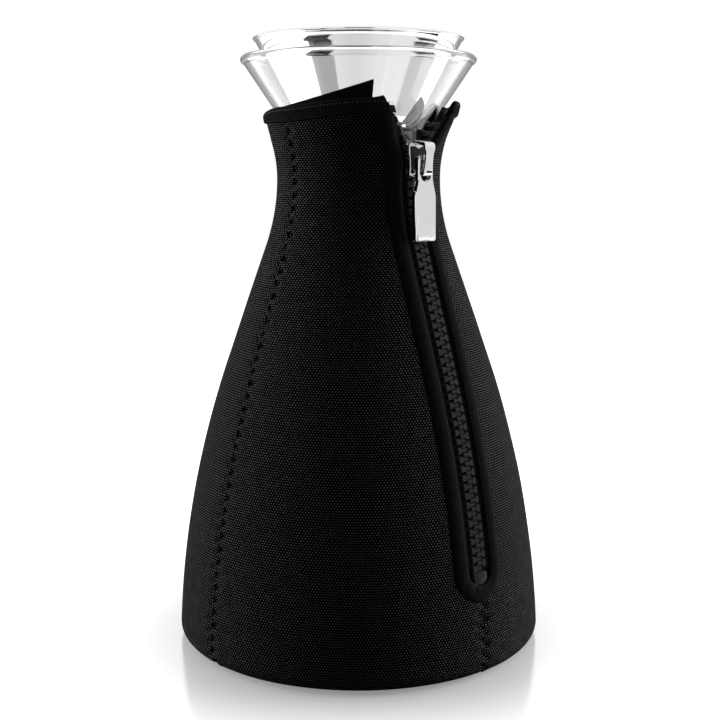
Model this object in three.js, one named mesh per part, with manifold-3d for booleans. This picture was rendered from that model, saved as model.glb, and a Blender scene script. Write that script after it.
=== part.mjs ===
// Coffee brewing carafe: a glass carafe with a flared collar, a steel pouring funnel that carries
// a filter tube and a tilting lid, and a four-panel neoprene jacket closed by a chunky zip.
// Millimetres, +Z up. The origin is the middle of the underside, and the zip faces -Y.
import * as THREE from "three";
import { mergeVertices } from "three/addons/utils/BufferGeometryUtils.js";
import Module from "manifold-3d";

const wasm = await Module();
wasm.setup();
const { degToRad, lerp, smoothstep } = THREE.MathUtils;

// Fits between pieces
const seamGap = 0.3; // two pieces that touch
const jacketEase = 0.6; // glass to jacket
const runningGap = 0.3; // pin to bore

// Facets
const roundSteps = 32; // round the axis
const filterSteps = 24; // round the filter and lid
const smallSteps = 12; // round a pin
const panelColumns = roundSteps / 4; // across one jacket panel
const leastStep = 2; // least distance between two rows of a panel

// Glass carafe, outside face
const neckRadius = 26.7; // at the narrowest place
const neckHeight = 178.7; // of the narrowest place above the table
const neckCurve = 81.3; // hollow curve between neck and flank
const flankSlope = degToRad(19.2); // lean of the straight flank
const flankLength = 45;
const bellyCurve = 379; // round curve from flank to heel
const glassHeel = 7;
const glassWall = 2.5;
const glassFloor = 4;
const rimRadius = 44.7;
const rimRise = 45.6; // rim's top over the narrowest place
const rimProud = 0.45; // fire-polished rim over each face of the wall
const collarSlope = degToRad(34); // lean of the flared collar
const collarBend = 6; // curve between neck and collar

// Neoprene jacket
const neoprene = 4;
const baseThickness = 4;
const jacketHeel = 5;
const flareCurve = 47; // hollow curve above the neck
const flareSlope = degToRad(14); // lean of the jacket's own collar
const jacketReach = 9.94; // jacket's edge over the start of the glass collar
const bandHeight = 5.4; // binding round the collar's edge
const bandProud = 0.8; // binding over the jacket's face
const flapRise = 3; // the flaps beside the open zip stand higher
const flapLift = 1.5; // and further out
const flapNear = degToRad(34); // angle from the zip where the flaps start to settle
const flapFar = degToRad(80); // and where they lie on the glass again
const facingThickness = 0.9; // lining that stands up inside each flap
const facingStart = 5.14; // its lower edge over the start of the glass collar
const facingSweep = 2.2; // its upper edge climbs faster towards the zip
const leftFacing = { from: degToRad(-128), to: degToRad(-32), lowRise: 0.1, highRise: 9.4 };
const rightFacing = { from: degToRad(70), to: degToRad(33), lowRise: 0, highRise: 4 };

// Zip
const slotHalf = 5.3; // zip centre to the welt
const weltWidth = 6; // rolled edge round the zip
const weltProud = 1.2; // welt over the jacket's face
const slotEnd = 39; // height of the middle of the slot's round end
const zipDepth = 0.9; // middle of the chain under the jacket's face
const toothPitch = 3.3;
const toothHeight = 2.6; // through the chain
const toothOuter = 3.3; // zip centre to a tooth's back
const toothBody = 1.75; // zip centre to the front of its body
const toothTip = 1.1; // how far its head passes the centre
const bodyHalf = 1.15; // half sizes along the zip
const neckHalf = 0.45;
const headHalf = 0.65;
const cordWidth = 0.8; // corded edge that joins the teeth's backs
const tapeThickness = 0.8;
const stopLength = 4.4; // bottom stop, along the zip
const stopRound = 2.6; // its rounded lower end
const topStopLength = 3;
const mouthLeft = degToRad(24.7); // angle at which each flap leaves the zip's centre
const mouthRight = degToRad(31.4);
const mouthEase = 6; // length over which the flaps start to part

// Zip slider and pull
const sliderRise = 6.8; // its middle over the neck's narrowest place
const sliderLength = 12;
const sliderHalfTop = 4.6;
const sliderHalfBottom = 3.4;
const sliderCorner = 1;
const sliderNotch = 1.2; // depth of the wavy upper edge
const sliderPlate = 0.8;
const sliderRoom = 0.6; // chain to each plate
const bridgeWidth = 4.2;
const bridgeRise = 6.4; // over the upper plate
const bridgeBar = 1.4;
const bridgeRound = 2;
const bridgeLow = 0.6; // slider's lower end to the bridge
const bridgeHigh = 0.3; // slider's upper end to the bridge
const forkHalf = 0.7; // wedge that parts the teeth
const forkLength = 2.2;
const forkInset = 0.8; // slider's upper end to the wedge
const pullLength = 31;
const pullWidth = 9.1;
const pullNeck = 6.8; // narrower stretch round the eye
const pullNeckLength = 11;
const pullShoulder = 2.2; // half the length over which it widens
const pullCorner = 1;
const pullBar = 2; // over the eye
const pullSeat = 1; // pivot over the slider's middle
const pullHang = 1.8; // pivot under the bridge's bar
const pullThickness = 2;
const eyeWidth = 4.6;
const eyeLength = 7.5;
const pullTop = 1.1; // pivot to the pull's upper edge
const pullClear = 1; // pull to the chain under it

// Pouring funnel and its gasket
const steelSheet = 0.8;
const funnelStand = 6.9; // its rim over the glass rim
const funnelRadius = 39.6; // outside, under the rolled lip
const lipProud = 0.35; // rolled lip over each face of the sheet
const gasketWall = 1;
const gasketDepth = 13; // down the neck from the collar
const gasketLip = 3; // up the curve of the glass collar, which it rests on
const spigotDepth = 14;
const spigotRise = 4.9; // from the collar's start to the funnel's cone

// Filter and lid
const frameWall = 1.7;
const frameFlange = 2.4; // rests on the funnel's cone
const frameDepth = 14; // collar part below the funnel's cone
const filterLength = 96; // from the funnel's cone to the end cap
const ribCount = 6;
const ribWidth = 2.6;
const ribInset = 0.1; // rib under the frame's outside
const hoopHeight = 3;
const hoopCount = 3;
const gauze = 0.5;
const gauzeInset = 0.5; // gauze inside the frame's bore
const gauzeTuck = 4; // gauze up inside the frame's collar
const capThickness = 3;
const capChamfer = 1;
const capPlug = 3;
const plugWall = 2;
const plugFloor = 1; // hollow under the cap's top
const lidThickness = 1.2;
const lidGap = 0.6; // lid to the frame's bore, so that it can tilt
const lidChamfer = 0.4;
const lidLedge = 4; // flat ring round the lid's dome
const lidDome = 1.1;
const lidDrop = 1.8; // lid's top under the frame's flange
const axleRadius = 1;
const axleDrop = 2.6; // axle under the lid's underside
const axleSeat = 1; // depth of the axle's end in the frame
const bossWidth = 4.6;
const bossLength = 26;
const bossFloor = 1.3; // under the axle's bore
const stemRadius = 1.5;
const stemLength = 5;
const weightRadius = 5.5;
const weightLength = 9;
const weightChamfer = 1.5;

// An outline is a run of arcs and lines that flow into each other. Each stretch starts where the
// last one ended. A heading of 0 points away from the axis and 90 degrees points up.
function outlineOf(startRadius, startHeight, startHeading, stretches) {
  const parts = [];
  let r = startRadius;
  let z = startHeight;
  let heading = startHeading;
  let length = 0;
  for (const { line, curve, turn } of stretches) {
    const part = { r, z, heading, from: length, span: line ?? curve * Math.abs(turn), curve, turn };
    parts.push(part);
    length += part.span;
    const end = placeOn(part, part.span);
    r = end.r;
    z = end.z;
    heading = end.heading;
  }
  const at = (s) => {
    const part = parts.findLast((p) => p.from <= s) ?? parts[0];
    return placeOn(part, s - part.from);
  };
  return { parts, length, at };
}

function placeOn({ r, z, heading, curve, turn }, t) {
  const left = Math.sign(turn ?? 0);
  const end = heading + (left === 0 ? 0 : (left * t) / curve);
  const dr = left === 0 ? t * Math.cos(heading) : left * curve * (Math.sin(end) - Math.sin(heading));
  const dz = left === 0 ? t * Math.sin(heading) : left * curve * (Math.cos(heading) - Math.cos(end));
  return { r: r + dr, z: z + dz, heading: end, nr: Math.sin(end), nz: -Math.cos(end) };
}

const upright = Math.PI / 2;

// The carafe's body up to the neck, offset outwards, standing on foot with its own heel curve.
function bodyStretches(offset, foot, heel) {
  const lean = upright + flankSlope;
  const hollow = neckCurve - offset;
  const round = bellyCurve + offset;
  const rise = neckHeight - foot - heel + (hollow + round) * Math.cos(lean) - flankLength * Math.sin(lean);
  const heelHeading = Math.acos(rise / (round - heel));
  const reach =
    heel * Math.sin(heelHeading) +
    round * (Math.sin(lean) - Math.sin(heelHeading)) +
    flankLength * Math.cos(lean) +
    hollow * (Math.sin(lean) - 1);
  const stretches = [
    { curve: heel, turn: heelHeading },
    { curve: round, turn: lean - heelHeading },
    { line: flankLength },
    { curve: hollow, turn: -flankSlope },
  ];
  return { startRadius: neckRadius + offset - reach, stretches };
}

// Heights where the glass leaves its straight neck, from the rim backwards.
const rimHeight = neckHeight + rimRise;
const rimBead = glassWall / 2 + rimProud;
const beadCentre = [rimRadius - rimBead, rimHeight - rimBead];
const collarEndHeight = beadCentre[1] - (glassWall / 2) * Math.sin(collarSlope);
const collarReach = beadCentre[0] + (glassWall / 2) * Math.cos(collarSlope) - neckRadius;
const bendReach = collarBend * (1 - Math.cos(collarSlope));
const bendRise = collarBend * Math.sin(collarSlope);
const collarStart = collarEndHeight - (collarReach - bendReach) / Math.tan(collarSlope) - bendRise;

function glassOutline(offset, foot, heel) {
  const { startRadius, stretches } = bodyStretches(offset, foot, heel);
  const coneLength = (collarReach - bendReach) / Math.sin(collarSlope);
  return outlineOf(startRadius, foot, 0, [
    ...stretches,
    { line: collarStart - neckHeight },
    { curve: collarBend - offset, turn: -collarSlope },
    { line: coneLength },
  ]);
}

const jacketTop = collarStart + jacketReach;
const jacketOffset = jacketEase + neoprene;
const glassFoot = baseThickness + seamGap;
const glassFace = glassOutline(0, glassFoot, glassHeel);
const glassInside = glassOutline(-glassWall, glassFoot + glassFloor, glassHeel);

const jacketBody = bodyStretches(jacketOffset, 0, jacketHeel);
const flareTopHeight = neckHeight + flareCurve * Math.sin(flareSlope);
const jacketFace = outlineOf(jacketBody.startRadius, 0, 0, [
  ...jacketBody.stretches,
  { curve: flareCurve, turn: -flareSlope },
  { line: (jacketTop - flareTopHeight) / Math.cos(flareSlope) + flapRise },
]);
const collarEdge = jacketFace.length - flapRise;
const neckPlace = jacketFace.parts[4].from;

// Distance along the jacket's face at a height.
function placeAtHeight(height) {
  let low = 0;
  let high = jacketFace.length;
  for (let i = 0; i < 50; i++) {
    const middle = (low + high) / 2;
    if (jacketFace.at(middle).z < height) low = middle;
    else high = middle;
  }
  return low;
}

const sliderPlace = placeAtHeight(neckHeight + sliderRise);
const slotEndPlace = placeAtHeight(slotEnd);
const forkPlace = sliderPlace - sliderLength / 4;
const mouthPlaces = [0, 0.5, 1].map((share) => forkPlace + share * mouthEase);

// How far each side of the zip has parted at a place along the jacket.
function parting(side, s) {
  const rate = Math.tan(side < 0 ? mouthLeft : mouthRight);
  const past = Math.max(0, s - forkPlace);
  return past < mouthEase ? (rate * past * past) / (2 * mouthEase) : rate * (past - mouthEase / 2);
}

// A point on the jacket: s along its face, angle from the zip, height over the face. The flaps
// beside the open zip stand a little off the glass.
function jacketPoint(s, angle, height) {
  const p = jacketFace.at(s);
  const opened = smoothstep(s, sliderPlace + sliderLength / 2, collarEdge);
  const beside = 1 - smoothstep(Math.abs(angle), flapNear, flapFar);
  const up = height + flapLift * opened * beside;
  const r = p.r + up * p.nr;
  return new THREE.Vector3(r * Math.sin(angle), -r * Math.cos(angle), p.z + up * p.nz);
}

// The same, with a distance across the zip in place of the angle.
function zipPoint(across, s, height) {
  return jacketPoint(s, across / jacketFace.at(s).r, height);
}

// Radius of the glass collar's outer face at a height.
function collarRadius(height) {
  return neckRadius + collarReach - (collarEndHeight - height) * Math.tan(collarSlope);
}

// Thickness of the jacket at s: its neoprene, or less where the glass collar and lining leave less.
function jacketDepth(s) {
  const p = jacketFace.at(s);
  const lining = facingThickness / Math.cos(collarSlope) + 3 * seamGap;
  const room = p.r - collarRadius(p.z) - lining;
  return Math.min(neoprene, room / (p.nr - Math.tan(collarSlope) * p.nz));
}

// Solids

function geometryFrom(points, faces) {
  const geometry = new THREE.BufferGeometry();
  const numbers = points.flatMap((p) => p.toArray());
  geometry.setAttribute("position", new THREE.Float32BufferAttribute(numbers, 3));
  geometry.setIndex(faces);
  return geometry;
}

function volumeOf(points, faces) {
  let six = 0;
  for (let i = 0; i < faces.length; i += 3) {
    const [a, b, c] = [points[faces[i]], points[faces[i + 1]], points[faces[i + 2]]];
    six += a.dot(b.clone().cross(c));
  }
  return six / 6;
}

// A closed body through equal rings of points, with its faces turned outwards.
function loft(rings) {
  const count = rings[0].length;
  const points = rings.flat();
  const last = (rings.length - 1) * count;
  const faces = [];
  for (let start = 0; start < last; start += count) {
    for (let k = 0; k < count; k++) {
      const a = start + k;
      const b = start + ((k + 1) % count);
      faces.push(a, b, a + count, b, b + count, a + count);
    }
  }
  for (let k = 0; k + 1 < count / 2; k++) {
    const far = count - 1 - k;
    faces.push(k, far, k + 1, k + 1, far, far - 1);
    faces.push(last + k, last + k + 1, last + far, last + k + 1, last + far - 1, last + far);
  }
  if (volumeOf(points, faces) < 0) faces.reverse();
  return geometryFrom(points, faces);
}

// A body of revolution about Z from [radius, height] points that start and end on the axis or close.
function turned(outline, steps = roundSteps) {
  let area = 0;
  outline.forEach(([r, z], i) => {
    const [nextR, nextZ] = outline[(i + 1) % outline.length];
    area += r * nextZ - nextR * z;
  });
  const ordered = area > 0 ? outline : outline.toReversed();
  const points = ordered.map(([r, z]) => new THREE.Vector2(r, z));
  return new THREE.LatheGeometry(points, steps).rotateX(upright);
}

// A plate cut to an outline and centred on its thickness.
function plate(shape, thickness, curveSegments = 6) {
  const settings = { depth: thickness, bevelEnabled: false, curveSegments };
  return new THREE.ExtrudeGeometry(shape, settings).translate(0, 0, -thickness / 2);
}

function shapeThrough(points) {
  return new THREE.Shape(points.map(([x, y]) => new THREE.Vector2(x, y)));
}

function rod(radius, length, axis) {
  const geometry = new THREE.CylinderGeometry(radius, radius, length, smallSteps);
  if (axis === "x") geometry.rotateZ(upright);
  if (axis === "z") geometry.rotateX(upright);
  return geometry;
}

function solid(geometry) {
  const bare = geometry.clone();
  bare.deleteAttribute("normal");
  bare.deleteAttribute("uv");
  const merged = mergeVertices(bare, 1e-4);
  const triVerts = [];
  const index = merged.index.array;
  for (let i = 0; i < index.length; i += 3) {
    const [a, b, c] = [index[i], index[i + 1], index[i + 2]];
    if (a !== b && b !== c && c !== a) triVerts.push(a, b, c);
  }
  const vertProperties = merged.attributes.position.array;
  const mesh = new wasm.Mesh({ numProp: 3, vertProperties, triVerts: new Uint32Array(triVerts) });
  return new wasm.Manifold(mesh);
}

function geometryOf(manifold) {
  const { vertProperties, triVerts } = manifold.getMesh();
  const geometry = new THREE.BufferGeometry();
  geometry.setAttribute("position", new THREE.BufferAttribute(vertProperties, 3));
  geometry.setIndex(new THREE.BufferAttribute(triVerts, 1));
  return geometry;
}

function joined(geometries) {
  return geometries.map(solid).reduce((whole, piece) => whole.add(piece));
}

// Materials, as [colour, roughness, metalness]
const finishes = {
  glass: [0xdfe8e6, 0.05, 0],
  steel: [0xc9cccd, 0.12, 1],
  chrome: [0xd6d8da, 0.1, 1],
  neoprene: [0x141414, 0.9, 0],
  binding: [0x101010, 0.75, 0],
  zipPlastic: [0x1c1c1c, 0.45, 0],
  tape: [0x0d0d0d, 0.9, 0],
  silicone: [0xcfd2d2, 0.5, 0],
  nylon: [0x202022, 0.6, 0],
  gauze: [0xb4b7b9, 0.35, 1],
};

const carafe = new THREE.Group();

function add(name, geometry, finish) {
  const [color, roughness, metalness] = finishes[finish];
  const mesh = new THREE.Mesh(geometry, new THREE.MeshStandardMaterial({ color, roughness, metalness }));
  mesh.name = name;
  carafe.add(mesh);
  return mesh;
}

// Places along an outline: each stretch divided into its own number of steps.
function stepsAlong(outline, counts) {
  return outline.parts.flatMap(({ from, span }, i) =>
    Array.from({ length: counts[i] }, (_, k) => from + (span * k) / counts[i]),
  );
}

function sampled(outline, counts) {
  return [...stepsAlong(outline, counts), outline.length].map((s) => {
    const { r, z } = outline.at(s);
    return [r, z];
  });
}

// A round bead on the upper edge of a leaning wall, from its outer face over to its inner one.
function beadOver([r, z], radius, wall, lean) {
  const steps = 6;
  const spread = Math.acos(wall / 2 / radius);
  return Array.from({ length: steps + 1 }, (_, k) => {
    const turn = lerp(-lean - spread, Math.PI - lean + spread, k / steps);
    return [r + radius * Math.cos(turn), z + radius * Math.sin(turn)];
  });
}

// Glass carafe

function glassCarafe() {
  const face = sampled(glassFace, [3, 5, 1, 3, 1, 2, 1]).slice(0, -1);
  const inside = sampled(glassInside, [2, 4, 1, 2, 1, 1, 1]).reverse().slice(1);
  const bead = beadOver(beadCentre, rimBead, glassWall, collarSlope);
  const outline = [[0, face[0][1]], ...face, ...bead, ...inside, [0, inside.at(-1)[1]]];
  add("glass_carafe", turned(outline), "glass");
}

// Jacket panels

const weltOuter = slotHalf + weltWidth;

// Half the gap that the zip and its welt leave between the two front panels.
function panelEdge(side, s) {
  const below = slotEndPlace - s;
  const radius = weltOuter + seamGap;
  if (below >= radius) return seamGap / 2;
  if (below > 0) return Math.max(seamGap / 2, Math.sqrt(radius * radius - below * below));
  return radius + parting(side, s);
}

const panelTop = collarEdge - bandHeight - seamGap;

function backRows() {
  const rows = stepsAlong(jacketFace, [3, 5, 1, 4, 2, 1]);
  return [...rows.filter((s) => s < panelTop - leastStep), panelTop];
}

// The front panels also follow the round lower end of the welt.
function frontRows() {
  const radius = weltOuter + seamGap;
  const roundEnd = [0, 1, 2, 3, 4].map((k) => slotEndPlace - radius * Math.cos((k / 4) * upright));
  const extra = [...roundEnd, ...mouthPlaces];
  const kept = backRows().filter((s) => extra.every((place) => Math.abs(s - place) > leastStep));
  return [...kept, ...extra].sort((a, b) => a - b);
}

// One panel between two edges, each an angle from the zip at a place along the face.
function panel(rows, edge, seam, rise) {
  const rings = [];
  for (let column = 0; column <= panelColumns; column++) {
    const share = column / panelColumns;
    const standing = rise * (1 - smoothstep(share, 0, 1));
    const outer = [];
    const inner = [];
    for (const row of rows) {
      const s = row + standing * Math.max(0, (row - neckPlace) / (panelTop - neckPlace));
      const angle = lerp(edge(s), seam(s), share);
      outer.push(jacketPoint(s, angle, 0));
      inner.push(jacketPoint(s, angle, -jacketDepth(s)));
    }
    rings.push([...outer, ...inner.reverse()]);
  }
  return loft(rings);
}

function jacketPanels() {
  const halfSeam = (s) => seamGap / 2 / jacketFace.at(s).r;
  for (const [name, side] of [["left", -1], ["right", 1]]) {
    const zipEdge = (s) => (side * panelEdge(side, s)) / jacketFace.at(s).r;
    const sideSeam = (s) => side * (upright - halfSeam(s));
    const sideSeamBack = (s) => side * (upright + halfSeam(s));
    const backSeam = (s) => side * (2 * upright - halfSeam(s));
    add(`jacket_panel_front_${name}`, panel(frontRows(), zipEdge, sideSeam, flapRise), "neoprene");
    add(`jacket_panel_back_${name}`, panel(backRows(), sideSeamBack, backSeam, 0), "neoprene");
  }
}

function jacketBase() {
  const facetLoss = 1 - Math.cos(Math.PI / roundSteps);
  const radius = jacketBody.startRadius * (1 - facetLoss) - seamGap;
  const outline = [[0, 0], [radius, 0], [radius, baseThickness], [0, baseThickness]];
  add("jacket_base", turned(outline), "neoprene");
}

// Angle from the zip to the welt's edge under the binding.
function mouthAngle(side) {
  const s = collarEdge - bandHeight + flapRise;
  return (slotHalf + parting(side, s)) / jacketFace.at(s).r;
}

// Binding sewn round the collar's edge, from one flap to the other.
function collarBinding() {
  const columns = 28;
  const first = -mouthAngle(-1);
  const last = -2 * Math.PI + mouthAngle(1);
  const rings = [];
  for (let column = 0; column <= columns; column++) {
    const angle = lerp(first, last, column / columns);
    const turn = angle < -Math.PI ? angle + 2 * Math.PI : angle;
    const edge = mouthAngle(Math.sign(turn)) + weltWidth / jacketFace.at(collarEdge).r;
    const standing = flapRise * (1 - smoothstep(Math.abs(turn), edge, upright));
    const low = collarEdge - bandHeight + standing;
    const high = collarEdge + standing;
    const middle = (low + high) / 2;
    const inside = [low + bandProud, middle, high - bandProud];
    const outer = [[low, 0], ...inside.map((s) => [s, bandProud]), [high, 0]];
    const inner = [high, ...inside.reverse(), low].map((s) => [s, -jacketDepth(s)]);
    rings.push([...outer, ...inner].map(([s, height]) => jacketPoint(s, turn, height)));
  }
  add("collar_binding", loft(rings), "binding");
}

// Lining that stands up against the glass collar inside each flap.
function zipFacing(name, { from, to, lowRise, highRise }) {
  const columns = 10;
  const foot = collarStart + facingStart;
  const onCollar = (angle, height, off) => {
    const r = collarRadius(height) + off / Math.cos(collarSlope);
    return new THREE.Vector3(r * Math.sin(angle), -r * Math.cos(angle), height);
  };
  const rings = [];
  for (let column = 0; column <= columns; column++) {
    const share = column / columns;
    const angle = lerp(from, to, share);
    const top = jacketTop + lerp(lowRise, highRise, share ** facingSweep);
    const heights = [foot, (foot + top) / 2, top];
    const near = heights.map((height) => onCollar(angle, height, seamGap));
    const far = heights.map((height) => onCollar(angle, height, seamGap + facingThickness));
    rings.push([...near, ...far.reverse()]);
  }
  add(name, loft(rings), "binding");
}

// Zip

// Rolled edge that runs down one side of the zip, round its lower end and up the other side.
function zipWelt() {
  const half = weltWidth / 2;
  const radius = slotHalf + half;
  const top = collarEdge - bandHeight + flapRise - seamGap;
  const stations = [];
  const places = stepsAlong(jacketFace, [1, 5, 3, 4, 1, 1]);
  const below = places.filter((s) => s > slotEndPlace + leastStep && s < forkPlace - leastStep);
  const straight = [slotEndPlace, ...below, ...mouthPlaces, top];
  for (const s of straight.toReversed()) {
    stations.push({ middle: [-radius - parting(-1, s), s], out: [-1, 0] });
  }
  const roundEnd = 8;
  for (let k = 1; k < roundEnd; k++) {
    const turn = Math.PI * (1 + k / roundEnd);
    const out = [Math.cos(turn), Math.sin(turn)];
    stations.push({ middle: [radius * out[0], slotEndPlace + radius * out[1]], out });
  }
  for (const s of straight) {
    stations.push({ middle: [radius + parting(1, s), s], out: [1, 0] });
  }
  const rings = stations.map(({ middle, out }) => {
    const point = (across, height) => {
      const s = middle[1] + across * out[1];
      return zipPoint(middle[0] + across * out[0], s, height ?? -jacketDepth(s));
    };
    const roll = [4, 3, 2, 1, 0].map((k) => {
      const turn = (k / 4) * Math.PI;
      return [half * Math.cos(turn), weltProud * Math.sin(turn)];
    });
    return [[0], [-half], ...roll, [half]].map(([across, height]) => point(across, height));
  });
  add("zip_welt", loft(rings), "binding");
}

const stopPlace = slotEndPlace - slotHalf + seamGap;
const firstTooth = stopPlace + stopLength + seamGap + bodyHalf;
const chainTop = collarEdge - topStopLength;

function chainPlaces() {
  const curved = stepsAlong(jacketFace, [1, 5, 3, 4, 2, 1]);
  const inside = curved.filter((s) => s > firstTooth + leastStep && s < forkPlace - leastStep);
  return [firstTooth - bodyHalf, ...inside, ...mouthPlaces, chainTop];
}

// A bar of rectangular section along one side of the zip.
function zipBar(side, places, near, far, thickness) {
  const rings = places.map((s) => {
    const away = parting(side, s);
    const corners = [[near, -1], [far, -1], [far, 1], [near, 1]];
    return corners.map(([across, face]) =>
      zipPoint(side * (across + away), s, -zipDepth + (face * thickness) / 2),
    );
  });
  return loft(rings);
}

// One side of the chain: each moulded tooth has a square body, a neck and a head that locks past the
// centre, and a corded edge joins their backs.
function teethRow(side, seats) {
  const body = [toothOuter, toothOuter - cordWidth, toothBody].map((across) => [across, bodyHalf]);
  const half = [...body, [toothBody / 2, neckHalf], [-toothTip, headHalf]];
  const outline = [...half, ...half.toReversed().map(([across, along]) => [across, -along])];
  const count = outline.length;
  const points = [];
  const faces = [];
  const quad = (a, b, c, d) => faces.push(a, b, d, b, c, d);
  seats.forEach((seat, i) => {
    for (const face of [-1, 1]) {
      const height = -zipDepth + (face * toothHeight) / 2;
      for (const [across, along] of outline) {
        const s = seat + along;
        points.push(zipPoint(side * (across + parting(side, s)), s, height));
      }
    }
    const low = 2 * count * i;
    const high = low + count;
    const last = i === seats.length - 1;
    for (let k = 0; k < count; k++) {
      const corded = (k === 0 && !last) || (k === count - 2 && i > 0);
      const next = (k + 1) % count;
      if (!corded) quad(low + k, low + next, high + next, high + k);
    }
    for (let k = 0; k + 1 < count / 2; k++) {
      const far = count - 1 - k;
      quad(low + k, low + far, low + far - 1, low + k + 1);
      quad(high + k, high + k + 1, high + far - 1, high + far);
    }
    if (last) return;
    const after = low + 2 * count;
    const here = [low, low + 1, high + 1, high];
    const there = [after + count - 1, after + count - 2, after + 2 * count - 2, after + 2 * count - 1];
    for (let k = 0; k < 4; k++) {
      const next = (k + 1) % 4;
      quad(here[k], here[next], there[next], there[k]);
    }
  });
  if (volumeOf(points, faces) < 0) faces.reverse();
  return geometryFrom(points, faces);
}

function zipChain() {
  const places = chainPlaces();
  for (const [name, side] of [["left", -1], ["right", 1]]) {
    const offset = side < 0 ? 0 : toothPitch / 2;
    const count = Math.floor((chainTop - bodyHalf - firstTooth - offset) / toothPitch);
    const seats = Array.from({ length: count + 1 }, (_, i) => firstTooth + offset + i * toothPitch);
    add(`zip_teeth_${name}`, teethRow(side, seats), "zipPlastic");
    const tape = zipBar(side, places, toothOuter + seamGap, slotHalf - seamGap, tapeThickness);
    add(`zip_tape_${name}`, tape, "tape");
    const stops = [chainTop + seamGap, chainTop + topStopLength];
    const stop = zipBar(side, stops, toothBody, toothOuter, toothHeight);
    add(`zip_top_stop_${name}`, stop, "zipPlastic");
  }
}

// Bottom stop: a block with a rounded lower end that joins both sides of the chain.
function zipBottomStop() {
  const rounding = [0, 1, 2, 3].map((k) => {
    const turn = (k / 3) * upright;
    return [toothOuter * Math.sin(turn), stopPlace + stopRound * (1 - Math.cos(turn))];
  });
  const half = [...rounding, [toothOuter, stopPlace + stopLength]];
  const rings = [-1, 1].map((face) => {
    const height = -zipDepth + (face * toothHeight) / 2;
    const right = half.map(([across, s]) => zipPoint(across, s, height));
    const left = half.toReversed().map(([across, s]) => zipPoint(-across, s, height));
    return [...right, ...left.slice(0, -1)];
  });
  const evenRings = rings.map((ring) => [...ring, ring[0].clone().lerp(ring.at(-1), 0.5)]);
  add("zip_bottom_stop", loft(evenRings), "zipPlastic");
}

// The slider runs down the neck's hollow curve. It leans midway between that curve and the tighter
// one above the neck, so that its plates clear the chain on both.
const sliderCurve = neckCurve - jacketOffset + zipDepth;
const sliderSeat = jacketFace.at(sliderPlace);
const runLean = Math.asin(sliderRise / sliderCurve);
const sliderLean = (runLean + upright - sliderSeat.heading) / 2;

// A frame on the slider: X across, Y along the zip, Z out of the jacket, from the chain's middle.
function sliderFrame() {
  const group = new THREE.Group();
  const out = sliderSeat.r - zipDepth * sliderSeat.nr;
  group.position.set(0, -out, sliderSeat.z - zipDepth * sliderSeat.nz);
  group.rotation.x = upright + sliderLean;
  carafe.add(group);
  return group;
}

const plateFloor = toothHeight / 2 + sliderRoom;
const bridgeFoot = plateFloor + sliderPlate;
const bridgeTop = bridgeFoot + bridgeRise;

function sliderOutline() {
  const end = sliderLength / 2;
  const half = [
    [sliderHalfBottom - sliderCorner, -end],
    [sliderHalfBottom, sliderCorner - end],
    [sliderHalfTop, end - 2 * sliderCorner],
    [sliderHalfTop - sliderCorner, end],
  ];
  const left = half.toReversed().map(([x, y]) => [-x, y]);
  return shapeThrough([...half, [0, end - sliderNotch], ...left]);
}

function zipSlider(frame) {
  const end = sliderLength / 2;
  const lower = plate(sliderOutline(), sliderPlate).translate(0, 0, -plateFloor - sliderPlate / 2);
  const upper = plate(sliderOutline(), sliderPlate).translate(0, 0, plateFloor + sliderPlate / 2);
  const forkTop = end - forkInset;
  const forkWide = forkTop - forkLength / 3;
  const wedge = [[0, forkTop - forkLength], [forkHalf, forkWide], [0, forkTop], [-forkHalf, forkWide]];
  const post = plate(shapeThrough(wedge), 2 * plateFloor + sliderPlate);
  const root = bridgeFoot - sliderPlate / 2;
  const low = bridgeLow - end;
  const high = end - bridgeHigh;
  const arch = new THREE.Shape();
  arch.moveTo(root, low);
  arch.lineTo(bridgeTop - bridgeRound, low);
  arch.quadraticCurveTo(bridgeTop, low, bridgeTop, low + bridgeRound);
  arch.lineTo(bridgeTop, high - bridgeRound);
  arch.quadraticCurveTo(bridgeTop, high, bridgeTop - bridgeRound, high);
  arch.lineTo(root, high);
  arch.closePath();
  const inside = bridgeTop - bridgeBar;
  const corner = bridgeRound - bridgeBar / 2;
  const window = new THREE.Path();
  window.moveTo(bridgeFoot, low + bridgeBar);
  window.lineTo(bridgeFoot, high - bridgeBar);
  window.lineTo(inside - corner, high - bridgeBar);
  window.lineTo(inside, high - bridgeBar - corner);
  window.lineTo(inside, low + bridgeBar + corner);
  window.lineTo(inside - corner, low + bridgeBar);
  window.closePath();
  arch.holes.push(window);
  const bridge = plate(arch, bridgeWidth, 3).rotateY(-upright);
  const mesh = add("zip_slider", geometryOf(joined([lower, upper, post, bridge])), "chrome");
  frame.add(mesh);
}

// How far the pull leans out from upright, so that its inner face just clears the chain under it.
function pullLean(pivot) {
  const chainFace = toothHeight / 2 - zipDepth;
  const clearOf = (lean) => {
    const shares = [0.25, 0.5, 0.75, 1];
    const gaps = shares.map((share) => {
      const down = share * (pullLength - pullTop);
      const out = down * Math.sin(lean) - (pullThickness / 2) * Math.cos(lean) - pivot.y;
      const height = pivot.z - down * Math.cos(lean) - (pullThickness / 2) * Math.sin(lean);
      return out - jacketFace.at(placeAtHeight(height)).r - chainFace;
    });
    return Math.min(...gaps);
  };
  let low = -upright / 2;
  let high = upright / 2;
  for (let i = 0; i < 40; i++) {
    const middle = (low + high) / 2;
    if (clearOf(middle) < pullClear) low = middle;
    else high = middle;
  }
  return high;
}

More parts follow.
